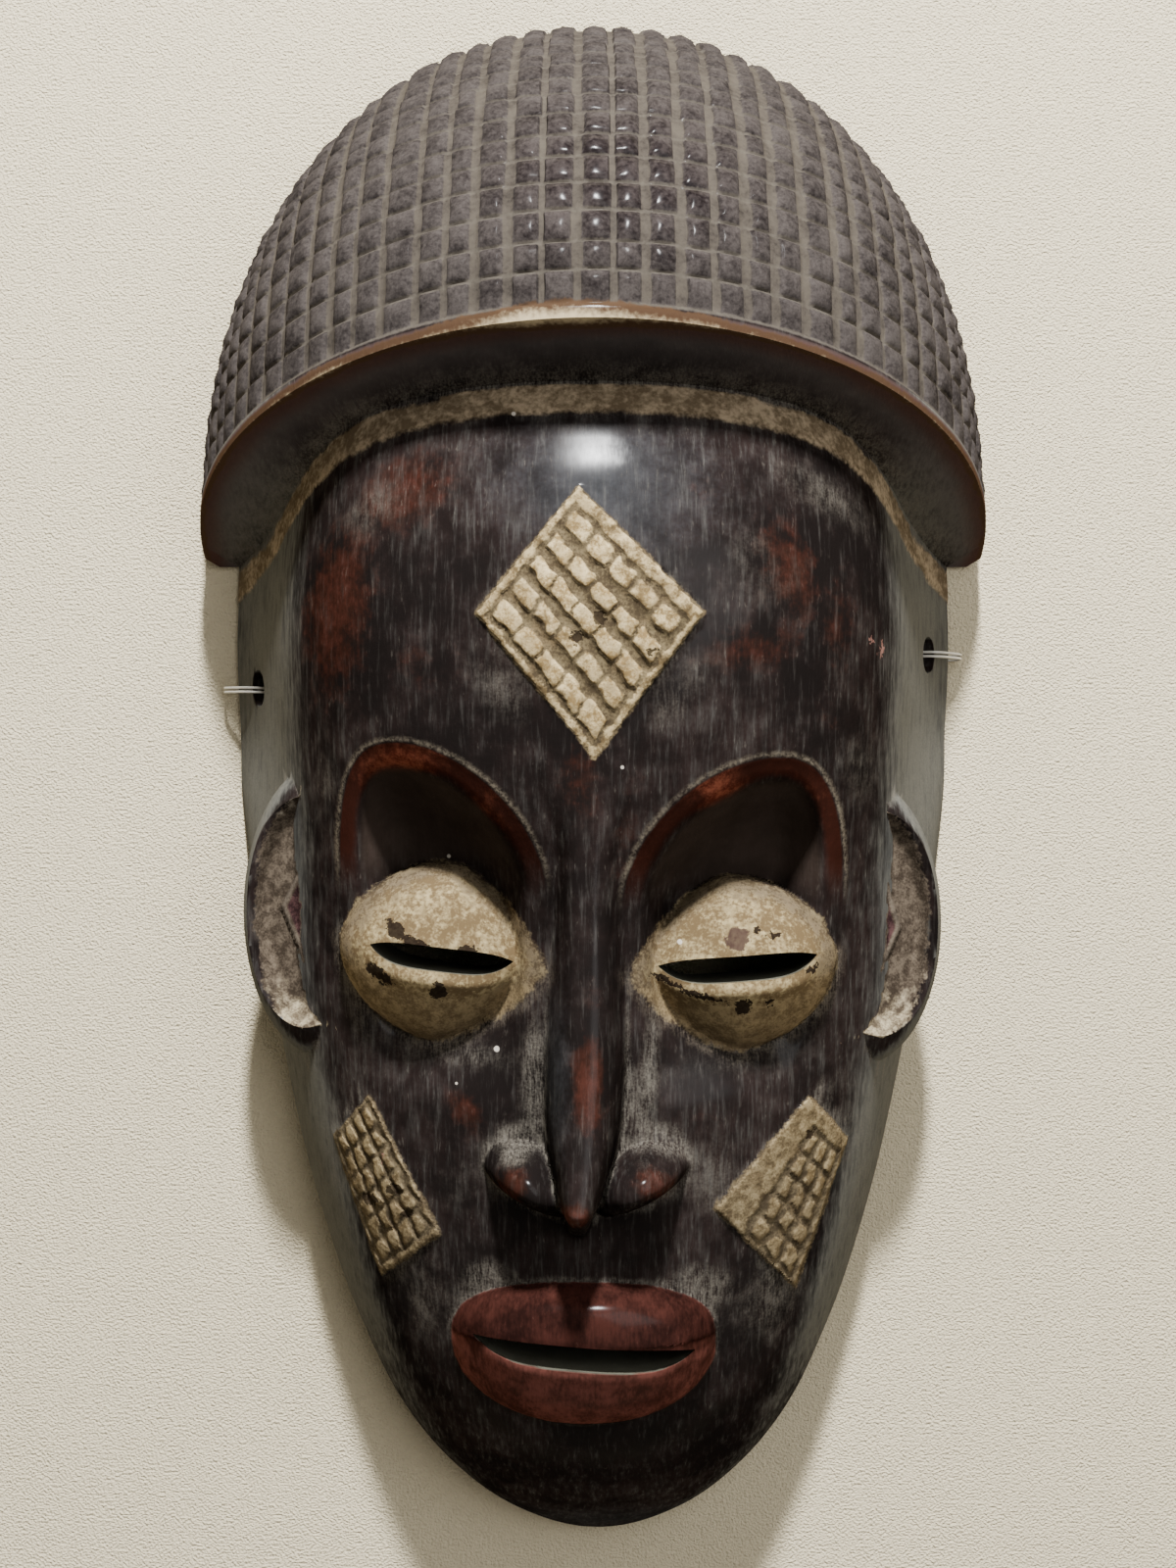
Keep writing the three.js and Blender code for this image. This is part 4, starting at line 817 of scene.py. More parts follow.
def floor_cut():
    """Everything under the floor, bowed up along the temples."""
    bm = bmesh.new()
    bmesh.ops.create_grid(bm, x_segments=2, y_segments=FLOOR_CUT_ROWS, size=FLOOR_CUT_REACH)
    radius = (BOW_HALF_LENGTH**2 + BOW_HEIGHT**2) / (2 * BOW_HEIGHT)
    for v in bm.verts:
        from_middle = abs(v.co.y - BOW_CENTRE_Y)
        if from_middle < BOW_HALF_LENGTH:
            v.co.z = BOW_HEIGHT - radius + (radius**2 - from_middle**2) ** 0.5
    grown = bmesh.ops.extrude_face_region(bm, geom=bm.faces[:])["geom"]
    for g in grown:
        if isinstance(g, bmesh.types.BMVert):
            g.co.z = -FLOOR_CUT_REACH
    return solid_object("floor_cut", bm)


tools = [boolean(mask, "UNION", hair)]
for half in HALVES:
    made = ear(half)
    boolean(mask, "UNION", made[0])
    tools += made
hollow = placed_grid("hollow_cut", 80, 116, hollow_place)
tools.append(boolean(mask, "DIFFERENCE", hollow))
tools.append(boolean(mask, "DIFFERENCE", floor_cut()))
tools.append(boolean(mask, "DIFFERENCE", slot_cut("mouth_cut", MOUTH_SLOT)))
for name, half in (("left", LEFT), ("right", RIGHT)):
    tools.append(boolean(mask, "DIFFERENCE", slot_cut(f"eye_cut_{name}", half["slit"])))
    tools.append(boolean(mask, "DIFFERENCE", hole_cut(f"hole_cut_{name}", half)))
bpy.context.view_layer.update()
finished = bpy.data.meshes.new_from_object(mask.evaluated_get(bpy.context.evaluated_depsgraph_get()))
finished.name = "carved_mask_made"
mask.modifiers.clear()
mask.data = finished
for tool in tools:
    bpy.data.objects.remove(tool)
mask.name = "carved_mask"

# Fields for the finish. Each is one number a vertex, worked out from the form: how far inside the painted
# places it lies, how deep in a cavity, where hands, smoke and dust have been, and where sheen, light and
# shade are painted in.
SHARP_ANGLE = radians(52)
finished.set_sharp_from_angle(angle=SHARP_ANGLE)
place = coordinates(finished)
x, y, z = place.T
normals = np.empty(len(place) * 3, np.float32)
finished.vertices.foreach_get("normal", normals)
normals = normals.reshape(-1, 3)
ends = np.empty(len(finished.edges) * 2, np.int32)
finished.edges.foreach_get("vertices", ends)
ends = ends.reshape(-1, 2)
degree = np.bincount(ends.ravel(), minlength=len(place))


def smoothed(values, rounds):
    for _ in range(rounds):
        total = np.bincount(ends[:, 0], values[ends[:, 1]], len(place))
        total += np.bincount(ends[:, 1], values[ends[:, 0]], len(place))
        values = 0.5 * values + 0.5 * total / np.maximum(degree, 1)
    return values


def cavity(rounds):
    moved = np.stack([smoothed(axis, rounds) for axis in (x, y, z)], 1) - place
    return (moved * normals).sum(1)


# How deep a point of the finished mask lies in a groove is read from the nearest point of the hair
# as it was first made, and a point of the face is one that still lies on the face's first form.
ON_SURFACE = 1.2
kept = hair_place.kept
flat_points = kept["points"].reshape(-1, 3)
tree_of_hair = kdtree.KDTree(len(flat_points))
for k, point in enumerate(flat_points):
    tree_of_hair.insert(point, k)
tree_of_hair.balance()
groove, crossing, on_hair = np.zeros((3, len(place)))
under_ledge = band_depth(x, y, z)
walls, crosses, blocks = kept["wall"].ravel(), kept["cross"].ravel(), kept["in_blocks"].ravel()
for k in np.nonzero(under_ledge < 2)[0]:
    _, found, far = tree_of_hair.find(place[k])
    if far < ON_SURFACE:
        on_hair[k] = blocks[found]
        groove[k] = (1 - walls[found]) * blocks[found]
        crossing[k] = (1 - crosses[found]) * blocks[found]
front = face_height(x, y)
on_face = (np.abs(z - front) < ON_SURFACE) & (under_ledge > -ON_SURFACE)

# Places on the face, as middle, radii, turn and strength: first where hands have worn the stain
# back to the red-brown wood, on the face and on the brows' edges, then where grey dust has
# settled, where a bluish-grey sheen is painted in, and last where the dust was wiped away.
WORN = [
    (41, 46, 9, 15, 20, 0.85), (33, 28, 14, 8, 10, 0.75), (53, 34, 6, 16, 0, 0.7),
    (22, 62, 9, 6, 0, 0.5), (-56, 38, 11, 24, -8, 1.0), (-40, 62, 15, 11, 20, 0.95),
    (-36, 24, 12, 8, 0, 0.6), (52, 14, 8, 10, 0, 0.5), (-1, -63, 4.2, 13, 0, 1.2),
    (-0.5, -45, 5, 10, 0, 0.5), (-4, -90.5, 3.5, 3, 0, 1.5), (-3, 0, 7, 18, 0, 0.7),
    (-28, -72, 6, 7, 25, 0.85), (23, -74, 7, 5, 0, 0.6), (13, -86, 7, 5, -35, 1.0),
    (-17, -86, 6, 5, 35, 0.95), (-45, -58, 9, 8, 0, 0.35), (45, -62, 9, 8, 0, 0.35),
    (0, 20, 26, 12, 0, 0.3), (7, -10, 4, 16, -12, 0.6),
]
DUSTY = [
    (-13.4, -62, 2.4, 17, 2, 1.0), (11.8, -64, 2.2, 18, -4, 1.1), (-16.5, -79, 4.5, 3, 40, 1.2),
    (15.5, -78, 5, 3, -30, 1.0), (-24, -108, 6, 4, 35, 1.1), (24, -109, 9, 3.6, -24, 1.0),
    (-31, -59.5, 16, 3.2, -4, 0.6), (31, -61.5, 18, 3.6, 6, 0.4), (50, -50, 4, 12, -20, 0.35),
    (-52, -52, 4, 10, 20, 0.6), (-62, -95, 5, 26, -10, 0.5), (62, -90, 5, 26, 10, 0.5),
    (40, -118, 9, 12, 0, 0.6), (-38, -118, 6, 14, 0, 0.5), (-18, 18, 5, 12, 42, 0.6),
    (16, 16, 5, 12, -42, 0.6), (50, 62, 14, 5, -25, 0.6), (-48, 58, 10, 5, 30, 0.5),
    (0, 76, 20, 3, 0, 0.3), (58, 2, 6, 10, 0, 0.5), (-58, -2, 5, 12, 0, 0.5),
    (26, -88, 6, 14, -10, 0.5), (-30, -92, 6, 10, 10, 0.35), (34, 47, 12, 8, -40, 0.45),
]
BROW_RUBBED = [
    (-42.5, 3.6, 10, 5, 12, 1.0), (-24, -8, 6, 9, 45, 0.45), (27, -2.5, 9, 6, -38, 0.9),
    (47, -3, 5, 9, 30, 0.3),
]
# Painted sheen: bluish-grey patches that paint the wax's shine on the forehead and the nose, and reflected
# light along the chin.
PAINTED_SHEEN_PATCHES = [
    (2, 62, 22, 15, 0, 0.75), (-8, -62, 3, 20, 0, 0.5), (4, -176, 34, 6, 0, 0.5),
]
WIPED = [
    (0, -12, 12, 30, 0, 1.6), (0, -101, 22, 7, 0, 1.5), (-3, -158, 40, 20, 0, 1.2),
    (-33, -12, 16, 14, -20, 1.5), (32, -14, 16, 14, 20, 1.5), (0, 55, 22, 10, 0, 0.5),
    (-2, -112, 14, 3, 0, 0.8), (-3, -84, 5, 8, 0, 0.7),
]


def patches(rows):
    total = np.zeros(len(place))
    for cx, cy, rx, ry, turn, strength in rows:
        c, s = cos(radians(turn)), sin(radians(turn))
        a = ((x - cx) * c + (y - cy) * s) / rx
        b = ((y - cy) * c - (x - cx) * s) / ry
        total = np.maximum(total, strength * np.exp(-(a * a + b * b)))
    return total * on_face


OUTSIDE = -9.0
eye_paint, ear_paint, ear_leaf, under_slit, brow, tan = np.full((6, len(place)), OUTSIDE)
# The walls inside the eye slits and the mouth slot are marked for a pale grey-green, painted light as if
# lit inside.
slot_wall, blocks_proud, brow_seen = np.zeros((3, len(place)))


def inside_slot(slot):
    return (slot_depth(x, y, slot)[0] > -0.4) & (z < front - 0.7)


for half in HALVES:
    reach = eye_reach(x, y, half)
    eye_paint = np.where(on_face, np.maximum(eye_paint, (1 - reach) * 20), eye_paint)
    _, along, height = slot_depth(x, y, half["slit"])
    bow = half["slit"]["sag"] * np.maximum(1 - np.abs(along) ** 2.4, 0)
    bow -= 3.4 * np.maximum(np.abs(along) - 0.9, 0)
    under_slit = np.where(reach < 1.15, -height - bow, under_slit)
    slot_wall = np.maximum(slot_wall, inside_slot(half["slit"]))
    reach, into, floor = ear_dish(x, y, half)
    in_ear = (np.abs(z - floor) < 0.7) & (reach < 1.02) & (x * half["side"] > 55)
    ear_paint = np.where(in_ear, (1 - reach) * 15, ear_paint)
    ear_leaf = np.where(in_ear, into, ear_leaf)
    peak, own_side = half["brow"]["peak"][1], x * half["side"] > 0
    near = on_face & (y > peak - half["brow"]["height"] - 12) & own_side
    brow = np.where(near, np.maximum(under_brow(x, y, half)[0], OUTSIDE), brow)
    brow_seen = brow_seen + smoothstep(y, peak - 34, peak - 22) * own_side
slot_wall = np.maximum(slot_wall, inside_slot(MOUTH_SLOT))
for panel in (FOREHEAD_PANEL, LEFT["panel"], RIGHT["panel"]):
    depth, proud = panel_depths(x, y, panel)
    tan = np.maximum(tan, np.where(on_face, depth, OUTSIDE))
    blocks_proud = np.where((depth > 0) & on_face, proud, blocks_proud)
band = np.minimum(BAND_WIDTH - under_ledge, (under_ledge + 0.2) * 2)
band = np.where(y > 15, np.minimum(band, 1.6 - np.abs(z - front)), OUTSIDE)
lips = np.where(on_face, (1 - lip_reach(x, y)) * 17, OUTSIDE)
turn = np.arctan2(x / HAIR_HALF_WIDTH, (z - RIM_FOOT_Z) / RIM_RISE)
rim_line = np.stack([HAIR_HALF_WIDTH * np.sin(turn), RIM_FOOT_Y + RIM_LEAN * np.cos(turn),
                     RIM_FOOT_Z + RIM_RISE * np.cos(turn)], 1)
# The rim's pale line is worn gold, with a painted highlight that makes it widest and palest over the
# forehead.
rim_wear_and_highlight = 0.2 + swell(x, 2.9, -4, 26) + swell(x, 0.5, -60, 20)
rim = np.where(y > 40, rim_wear_and_highlight - np.linalg.norm(place - rim_line, axis=1), -40)
# The underside of the hair's ledge, seen only in shade, is given a pale grey of its own as painted fill
# light.
ledge = (np.abs(under_ledge + RIM_LIP) < 2.2) & (z > front + 0.3) & (on_hair == 0) & (y > 35)
inside = (z < front - 3) & (on_hair == 0) & (normals[:, 2] < 0.1) & (np.abs(x) < face_half_width(y) - 1)
# Sides: surfaces near the long edges that face sideways, weaker toward the chin. A grey painted sheen,
# mixed with dust, is laid on them.
out_to_side = smoothstep(np.abs(x) / np.maximum(face_half_width(y), 1), 0.7, 0.86)
side = smoothstep(np.abs(normals[:, 2]), 0.7, 0.45) * (on_hair == 0) * (inside == 0) * out_to_side
side = side * lerp(0.3, 1, smoothstep(y, -150, -112))

# The wax shines on the tops of the hair's blocks over the forehead, and down the face's middle.
over_forehead = 0.1 + 0.9 * np.exp(-(((x - 5) / 25) ** 2) - ((y - 127) / 18) ** 2)
on_tops = smoothstep(normals[:, 2], 0.2, 0.6) * (groove < 0.3) * over_forehead
on_brow = lerp(1, 0.15 + swell(x, 0.85, -2.5, 7), smoothstep(y, 44, 58))
waxed = np.where(on_hair > 0, on_tops, on_brow * smoothstep(normals[:, 2], 0.62, 0.9))
fields = {
    "hollows": cavity(5), "wide_hollows": cavity(45), "eye_paint": eye_paint, "panel": tan,
    "blocks": blocks_proud, "band": band, "lips": lips, "brow": brow, "brow_seen": brow_seen,
    "under_slit": under_slit, "ear_paint": ear_paint, "ear_leaf": ear_leaf, "slot_wall": slot_wall,
    "groove": groove, "crossing": crossing, "hair": on_hair, "rim": rim, "ledge": ledge, "inside": inside,
    "side": side, "waxed": smoothed(waxed, 2), "worn": patches(WORN),
    "dusty": patches(DUSTY) - patches(WIPED), "brow_rubbed": patches(BROW_RUBBED),
    "sheen_places": patches(PAINTED_SHEEN_PATCHES),
}
for name, values in fields.items():
    field = finished.attributes.new(name, "FLOAT", "POINT")
    field.data.foreach_set("value", np.asarray(values, np.float32))
finished.transform(((MM, 0, 0, 0), (0, MM, 0, 0), (0, 0, MM, 0), (0, 0, 0, 1)))

# Dense pale wood stained almost black, rubbed with wax and handled for years: it shows as deep
# brown with a soft shine, red where the stain has worn, with grey dust in every low place.
wood, tree = new_material("stained_waxed_wood")
spot = add(tree, "ShaderNodeTexCoord").outputs["Object"]
field = {name: add(tree, "ShaderNodeAttribute", attribute_name=name).outputs["Fac"] for name in fields}
field["one"] = 1.0
field["up"] = add(tree, "ShaderNodeSeparateXYZ", {0: spot}).outputs[1]

# Uneven tones in the wood and its coats: name, size in mm, detail, roughness, stretch along the grain.
for name, size, detail, rough, stretch in (
    ("cloud", 34, 2, 0.55, 1), ("mottle", 7, 4, 0.62, 1), ("crust", 2.6, 3, 0.6, 1),
    ("fine", 1.1, 3, 0.55, 1), ("speckle", 0.55, 2, 0.7, 1), ("grain", 0.9, 3, 0.65, 11),
    ("fleck", 0.7, 3, 0.62, 4.5), ("hairline", 0.42, 2, 0.6, 7),
):
    scale = (1, 1 / stretch, 1 / stretch ** 0.5)
    along_grain = add(tree, "ShaderNodeMapping", {"Vector": spot, "Scale": scale})
    field[name] = add(tree, "ShaderNodeTexNoise", {
        "Vector": along_grain, "Scale": 1000 / size, "Detail": detail, "Roughness": rough}).outputs[0]

# Chips and nicks: kind, middle, radii and turn. Each is a small oval, on a place that wanders by a
# millimetre or so, so that its edge is ragged. Only the nicks are clean and round.
wander = add(tree, "ShaderNodeTexNoise", {"Vector": spot, "Scale": 620.0, "Detail": 2.0, "Roughness": 0.7})
wander = add(tree, "ShaderNodeVectorMath", {0: wander.outputs["Color"], 1: (0.5, 0.5, 0.5)},
             operation="SUBTRACT")
torn = add(tree, "ShaderNodeVectorMath", {0: wander, 1: (0.0042, 0.0036, 0), 2: spot},
           operation="MULTIPLY_ADD")
for kind, places in {
    "chips": [
        (-42.6, -32.4, 3.1, 1.3, -43), (-38.6, -34.8, 3.0, 1.0, -16), (-26.8, -36.0, 1.6, 1.0, 0),
        (-46.5, -41.8, 3.4, 1.3, -35), (-33.4, -45.2, 1.6, 1.5, 0), (35.6, -32.3, 0.7, 0.7, 0),
        (39, -33.3, 1.2, 0.6, 20), (17, -43.8, 4.0, 0.5, -24), (24, -46.6, 4.2, 0.6, -14),
        (32.2, -48.8, 1.6, 1.3, 0), (38, -47.5, 0.9, 0.8, 0), (47.5, -41, 1.4, 0.7, 30),
    ],
    "stain_spot": [(31, -33.9, 2.5, 2.4, 0)],
    "holes": [
        (-3.6, 29.8, 1.3, 1.0, 30), (1.3, 34, 1.3, 1.0, -20), (12, 27, 0.8, 0.7, 0),
        (-50.5, -94, 1.2, 1.4, 0), (-44.5, -91, 1.7, 1.2, 20), (-41.5, -96, 1.0, 1.0, 0),
        (48.5, -78.5, 1.0, 0.7, 40),
    ],
    "scrapes": [(64.2, 29.4, 0.7, 2.0, -10), (61.5, 31.5, 0.4, 0.7, 0), (-47, -84, 0.3, 1.2, 10)],
    "nicks": [
        (18.7, -34.8, 0.6, 0.6, 0), (-21.1, -58.3, 0.7, 0.7, 0), (-32.1, -16.5, 0.5, 0.5, 0),
        (-17, 78, 0.5, 0.5, 0), (-30, -66, 0.35, 0.35, 0), (6, 3, 0.4, 0.4, 0),
    ],
}.items():
    about = spot if kind == "nicks" else torn.outputs[0]
    nearest = 9.0
    for cx, cy, rx, ry, turned in places:
        oval = add(tree, "ShaderNodeMapping", {
            "Vector": about, "Location": (cx * MM, cy * MM, 0), "Rotation": (0, 0, radians(turned)),
            "Scale": (rx * MM, ry * MM, 1000),
        }, vector_type="TEXTURE")
        away = add(tree, "ShaderNodeVectorMath", {0: oval}, operation="LENGTH").outputs["Value"]
        nearest = add(tree, "ShaderNodeMath", {0: away, 1: nearest}, operation="MINIMUM")
    field[kind] = nearest.outputs[0]


def weighted_sum(terms):
    total = 0.0
    for part, weight in terms.items():
        total = add(tree, "ShaderNodeMath", {0: field[part], 1: weight, 2: total}, operation="MULTIPLY_ADD")
    return total


# Where each coat lies: the fields that it is summed from, the sums at which it starts and is
# whole, its strength there, and the coat or place that it is kept within.
for name, terms, low, high, strength, within in (
    ("ragged", {"mottle": 1.0, "fine": 0.6}, 0.3, 1.3, 1.0, None),
    ("pale_tone", {"mottle": 0.6, "fine": 0.5}, 0.42, 0.72, 1.0, None),
    ("crust_tone", {"crust": 0.7, "speckle": 0.5}, 0.46, 0.78, 1.0, None),
    ("stain_tone", {"cloud": 0.6, "mottle": 0.5}, 0.4, 0.75, 1.0, None),
    ("grain_lines", {"grain": 1.0}, 0.52, 0.74, 0.4, None),
    # The two side coats paint a grey satin sheen on the sideways planes; the first of them also carries
    # dust.
    ("side_dust", {"side": 0.5, "grain": 0.9, "fleck": 0.6, "cloud": 0.3}, 1.05, 1.5, 0.7, None),
    ("side_seen", {"side": 1.0, "grain": 0.9, "mottle": 0.5, "cloud": 0.5}, 0.85, 1.8, 0.85, None),
    ("worn_dull", {"worn": 1.1, "mottle": 1.3, "grain": 0.5, "crust": 0.5}, 1.62, 2.1, 0.85, None),
    ("worn_bright", {"worn": 0.9, "fleck": 0.9, "crust": 0.9, "mottle": 0.8}, 1.85, 2.6, 0.7, None),
    ("fleck_places", {"mottle": 0.8, "cloud": 0.3}, 0.42, 0.7, 0.5, None),
    # Painted sheen: a bluish-grey tone over the patches of painted shine and reflection.
    ("bloom", {"sheen_places": 1.0, "mottle": 0.6, "fine": 0.4}, 0.5, 1.6, 0.75, None),
    ("flecks", {"fleck": 1.0}, 0.6, 0.74, 1.0, "fleck_places"),
    ("under_brow", {"brow": 1.0}, 0.1, 0.7, 1.0, "brow_seen"),
    ("bevel", {"brow": -1.0, "mottle": 1.2, "brow_rubbed": 2.6}, -4.6, -2.4, 1.0, "under_brow"),
    ("bevel_red", {"brow_rubbed": 1.0, "mottle": 0.9, "grain": 0.4, "crust": 0.4}, 0.95, 1.9, 0.9, "bevel"),
    # Painted shade: the deep socket under each brow gets a tone of its own by its depth, set to how its
    # shade looks.
    ("socket_dark", {"brow": 1.0}, 4.4, 6.5, 0.9, "under_brow"),
    ("chalk_out", {"brow": 1.0, "ragged": 0.7}, -1.1, 0.5, 1.0, "brow_seen"),
    ("chalk_in", {"brow": -1.0, "ragged": 0.8}, 0.0, 0.9, 1.0, "chalk_out"),
    ("chalk", {"fine": 0.7, "speckle": 0.5, "mottle": 0.4}, 0.5, 0.95, 0.85, "chalk_in"),
    ("dust_broken", {"hairline": 0.8, "speckle": 0.5, "mottle": 0.7, "grain": 0.3}, 0.9, 1.45, 0.75, None),
    ("dust_low", {"hollows": 1.3, "wide_hollows": 0.12, "dusty": 1.0, "mottle": 0.6}, 0.3, 1.35, 1.0,
     "dust_broken"),
    ("dust_open", {"brow": -1.0}, -1.2, 0.0, 1.0, "dust_low"),
    ("dust", {"ledge": -1.0}, -0.6, 0.0, 1.0, "dust_open"),
    # Lip paint: its red-brown is pitched lighter as painted fill light on the down-facing lower lip, and
    # the upper lip, above the slot, is darkened as painted shade.
    ("lip_paint", {"lips": 1.0, "ragged": 0.4}, 0.0, 0.35, 1.0, None),
    ("lip_tone", {"mottle": 0.8, "fleck": 0.4, "cloud": 0.4}, 0.62, 1.0, 1.0, None),
    ("lip_above", {"up": 1000.0}, -123.5, -121.5, 0.9, "lip_paint"),
    ("lip_scratch", {"fleck": 0.8, "speckle": 0.6}, 0.86, 1.0, 0.4, "lip_paint"),
    ("band_place", {"band": 1.0, "ragged": 1.6}, 0.0, 1.5, 0.95, None),
    ("band_tone", {"mottle": 0.9, "fine": 0.6, "crust": 0.4}, 0.8, 1.2, 1.0, None),
    ("panel_place", {"panel": 1.0, "ragged": 1.2}, 0.1, 0.7, 1.0, None),
    ("block_tops", {"blocks": 1.0, "crust": 0.5}, 0.62, 1.05, 1.0, "panel_place"),
    ("cheek_panels", {"up": -20.0, "mottle": 0.6, "crust": 0.5}, 1.0, 2.6, 0.72, "panel_place"),
    ("panel_dirt", {"mottle": 0.9, "crust": 0.5, "speckle": 0.3}, 0.86, 1.1, 0.55, "panel_place"),
    ("eye_place", {"eye_paint": 1.0, "ragged": 2.2}, 0.6, 2.8, 1.0, None),
    ("eye_tone", {"mottle": 0.9, "fine": 0.7, "crust": 0.6, "speckle": 0.3}, 1.1, 1.65, 1.0, None),
    ("eye_skirt", {"eye_paint": 1.0, "ragged": 1.5}, -2.6, 0.6, 0.9, "dust_broken"),
    ("eye_dust", {"under_slit": 1.0}, -1.0, 3.0, 1.0, "eye_skirt"),
    ("eye_worn", {"eye_paint": -1.0, "mottle": 9.0, "crust": 7.0}, 1.6, 7.0, 0.9, "eye_place"),
    ("eye_brown", {"speckle": 0.9, "crust": 0.7, "mottle": 0.6}, 1.12, 1.4, 0.65, "eye_place"),
    # Below each lid's roll the eye's paint turns browner and darker toward its lower outline: partly dirt,
    # partly painted shade where the eye faces down.
    ("eye_low", {"under_slit": 1.0, "ragged": 1.8}, 5.0, 7.8, 0.8, "eye_place"),
    ("eye_foot", {"under_slit": 1.0, "ragged": 2.4}, 11.0, 19.0, 0.6, "eye_place"),
    ("chip", {"chips": -1.0, "ragged": 0.9, "speckle": 0.5}, -0.5, -0.3, 0.95, None),
    ("stain", {"stain_spot": -1.0, "crust": 0.6}, -0.8, -0.6, 0.9, None),
    ("ear_place", {"ear_paint": 1.0, "ragged": 2.6}, 2.0, 2.8, 1.0, None),
    ("ear_low", {"up": -60.0, "mottle": 1.4, "crust": 0.9}, 3.9, 4.6, 0.9, "ear_place"),
    ("ear_tip", {"up": 60.0, "crust": 1.2}, 0.2, 0.6, 0.6, "ear_place"),
    ("leaf", {"ear_leaf": 1.0}, 0.5, 1.1, 0.9, "ear_place"),
    ("leaf_edge_out", {"ear_leaf": 1.0}, -0.9, -0.2, 1.0, "ear_place"),
    ("leaf_edge", {"ear_leaf": -1.0, "crust": 1.0}, -0.3, 0.5, 0.3, "leaf_edge_out"),
    ("hair_tone", {"mottle": 0.7, "fine": 0.5}, 0.4, 0.8, 1.0, None),
    ("hair_dusty", {"waxed": -0.6, "mottle": 0.9, "fine": 0.6}, 0.1, 1.1, 0.65, "hair"),
    ("groove_dust", {"groove": 1.0, "fine": 0.6, "mottle": 0.5}, 1.1, 1.75, 0.92, "hair"),
    ("cross_dust", {"crossing": 1.0, "fine": 0.6, "mottle": 0.5}, 0.8, 1.3, 0.8, "hair"),
    ("rim_red", {"rim": 0.22, "cloud": 0.9, "mottle": 0.8}, -0.6, 0.5, 0.7, "ledge"),
    # Worn gold on the rim, with a painted highlight at its middle.
    ("rim_lit", {"rim": 1.0, "ragged": 1.4, "cloud": 1.2, "mottle": 0.8}, 0.4, 1.2, 0.9, None),
    ("rim_tone", {"fine": 0.6, "mottle": 0.6, "cloud": 0.6, "rim": 0.2}, 0.95, 1.6, 1.0, None),
    ("hole", {"holes": -1.0, "ragged": 0.8, "crust": 0.4}, -0.7, -0.4, 0.85, None),
    ("nick", {"nicks": -1.0, "ragged": 0.5}, -0.8, -0.5, 0.9, None),
    ("wax_bare", {"dust": 1.0, "eye_place": 1.0, "band_place": 1.0, "panel_place": 1.0, "groove_dust": 1.0,
                  "ear_place": 1.0, "chalk": 1.0, "side_seen": 1.0, "inside": 1.0, "slot_wall": 1.0,
                  "socket_dark": 0.8, "bevel": 0.5}, 0.9, 0.1, 1.0, None),
    ("wax", {"waxed": 1.0, "mottle": -0.9, "fleck": -0.5}, -0.6, 0.6, 0.24, "wax_bare"),
    ("scrape", {"scrapes": -1.0, "ragged": 0.6}, -0.8, -0.3, 0.8, None),
):
    made = add(tree, "ShaderNodeMapRange", {0: weighted_sum(terms), 1: low, 2: high, 4: strength},
               interpolation_type="SMOOTHSTEP")
    if within:
        made = add(tree, "ShaderNodeMath", {0: made, 1: field[within]}, operation="MULTIPLY")
    field[name] = made.outputs[0]

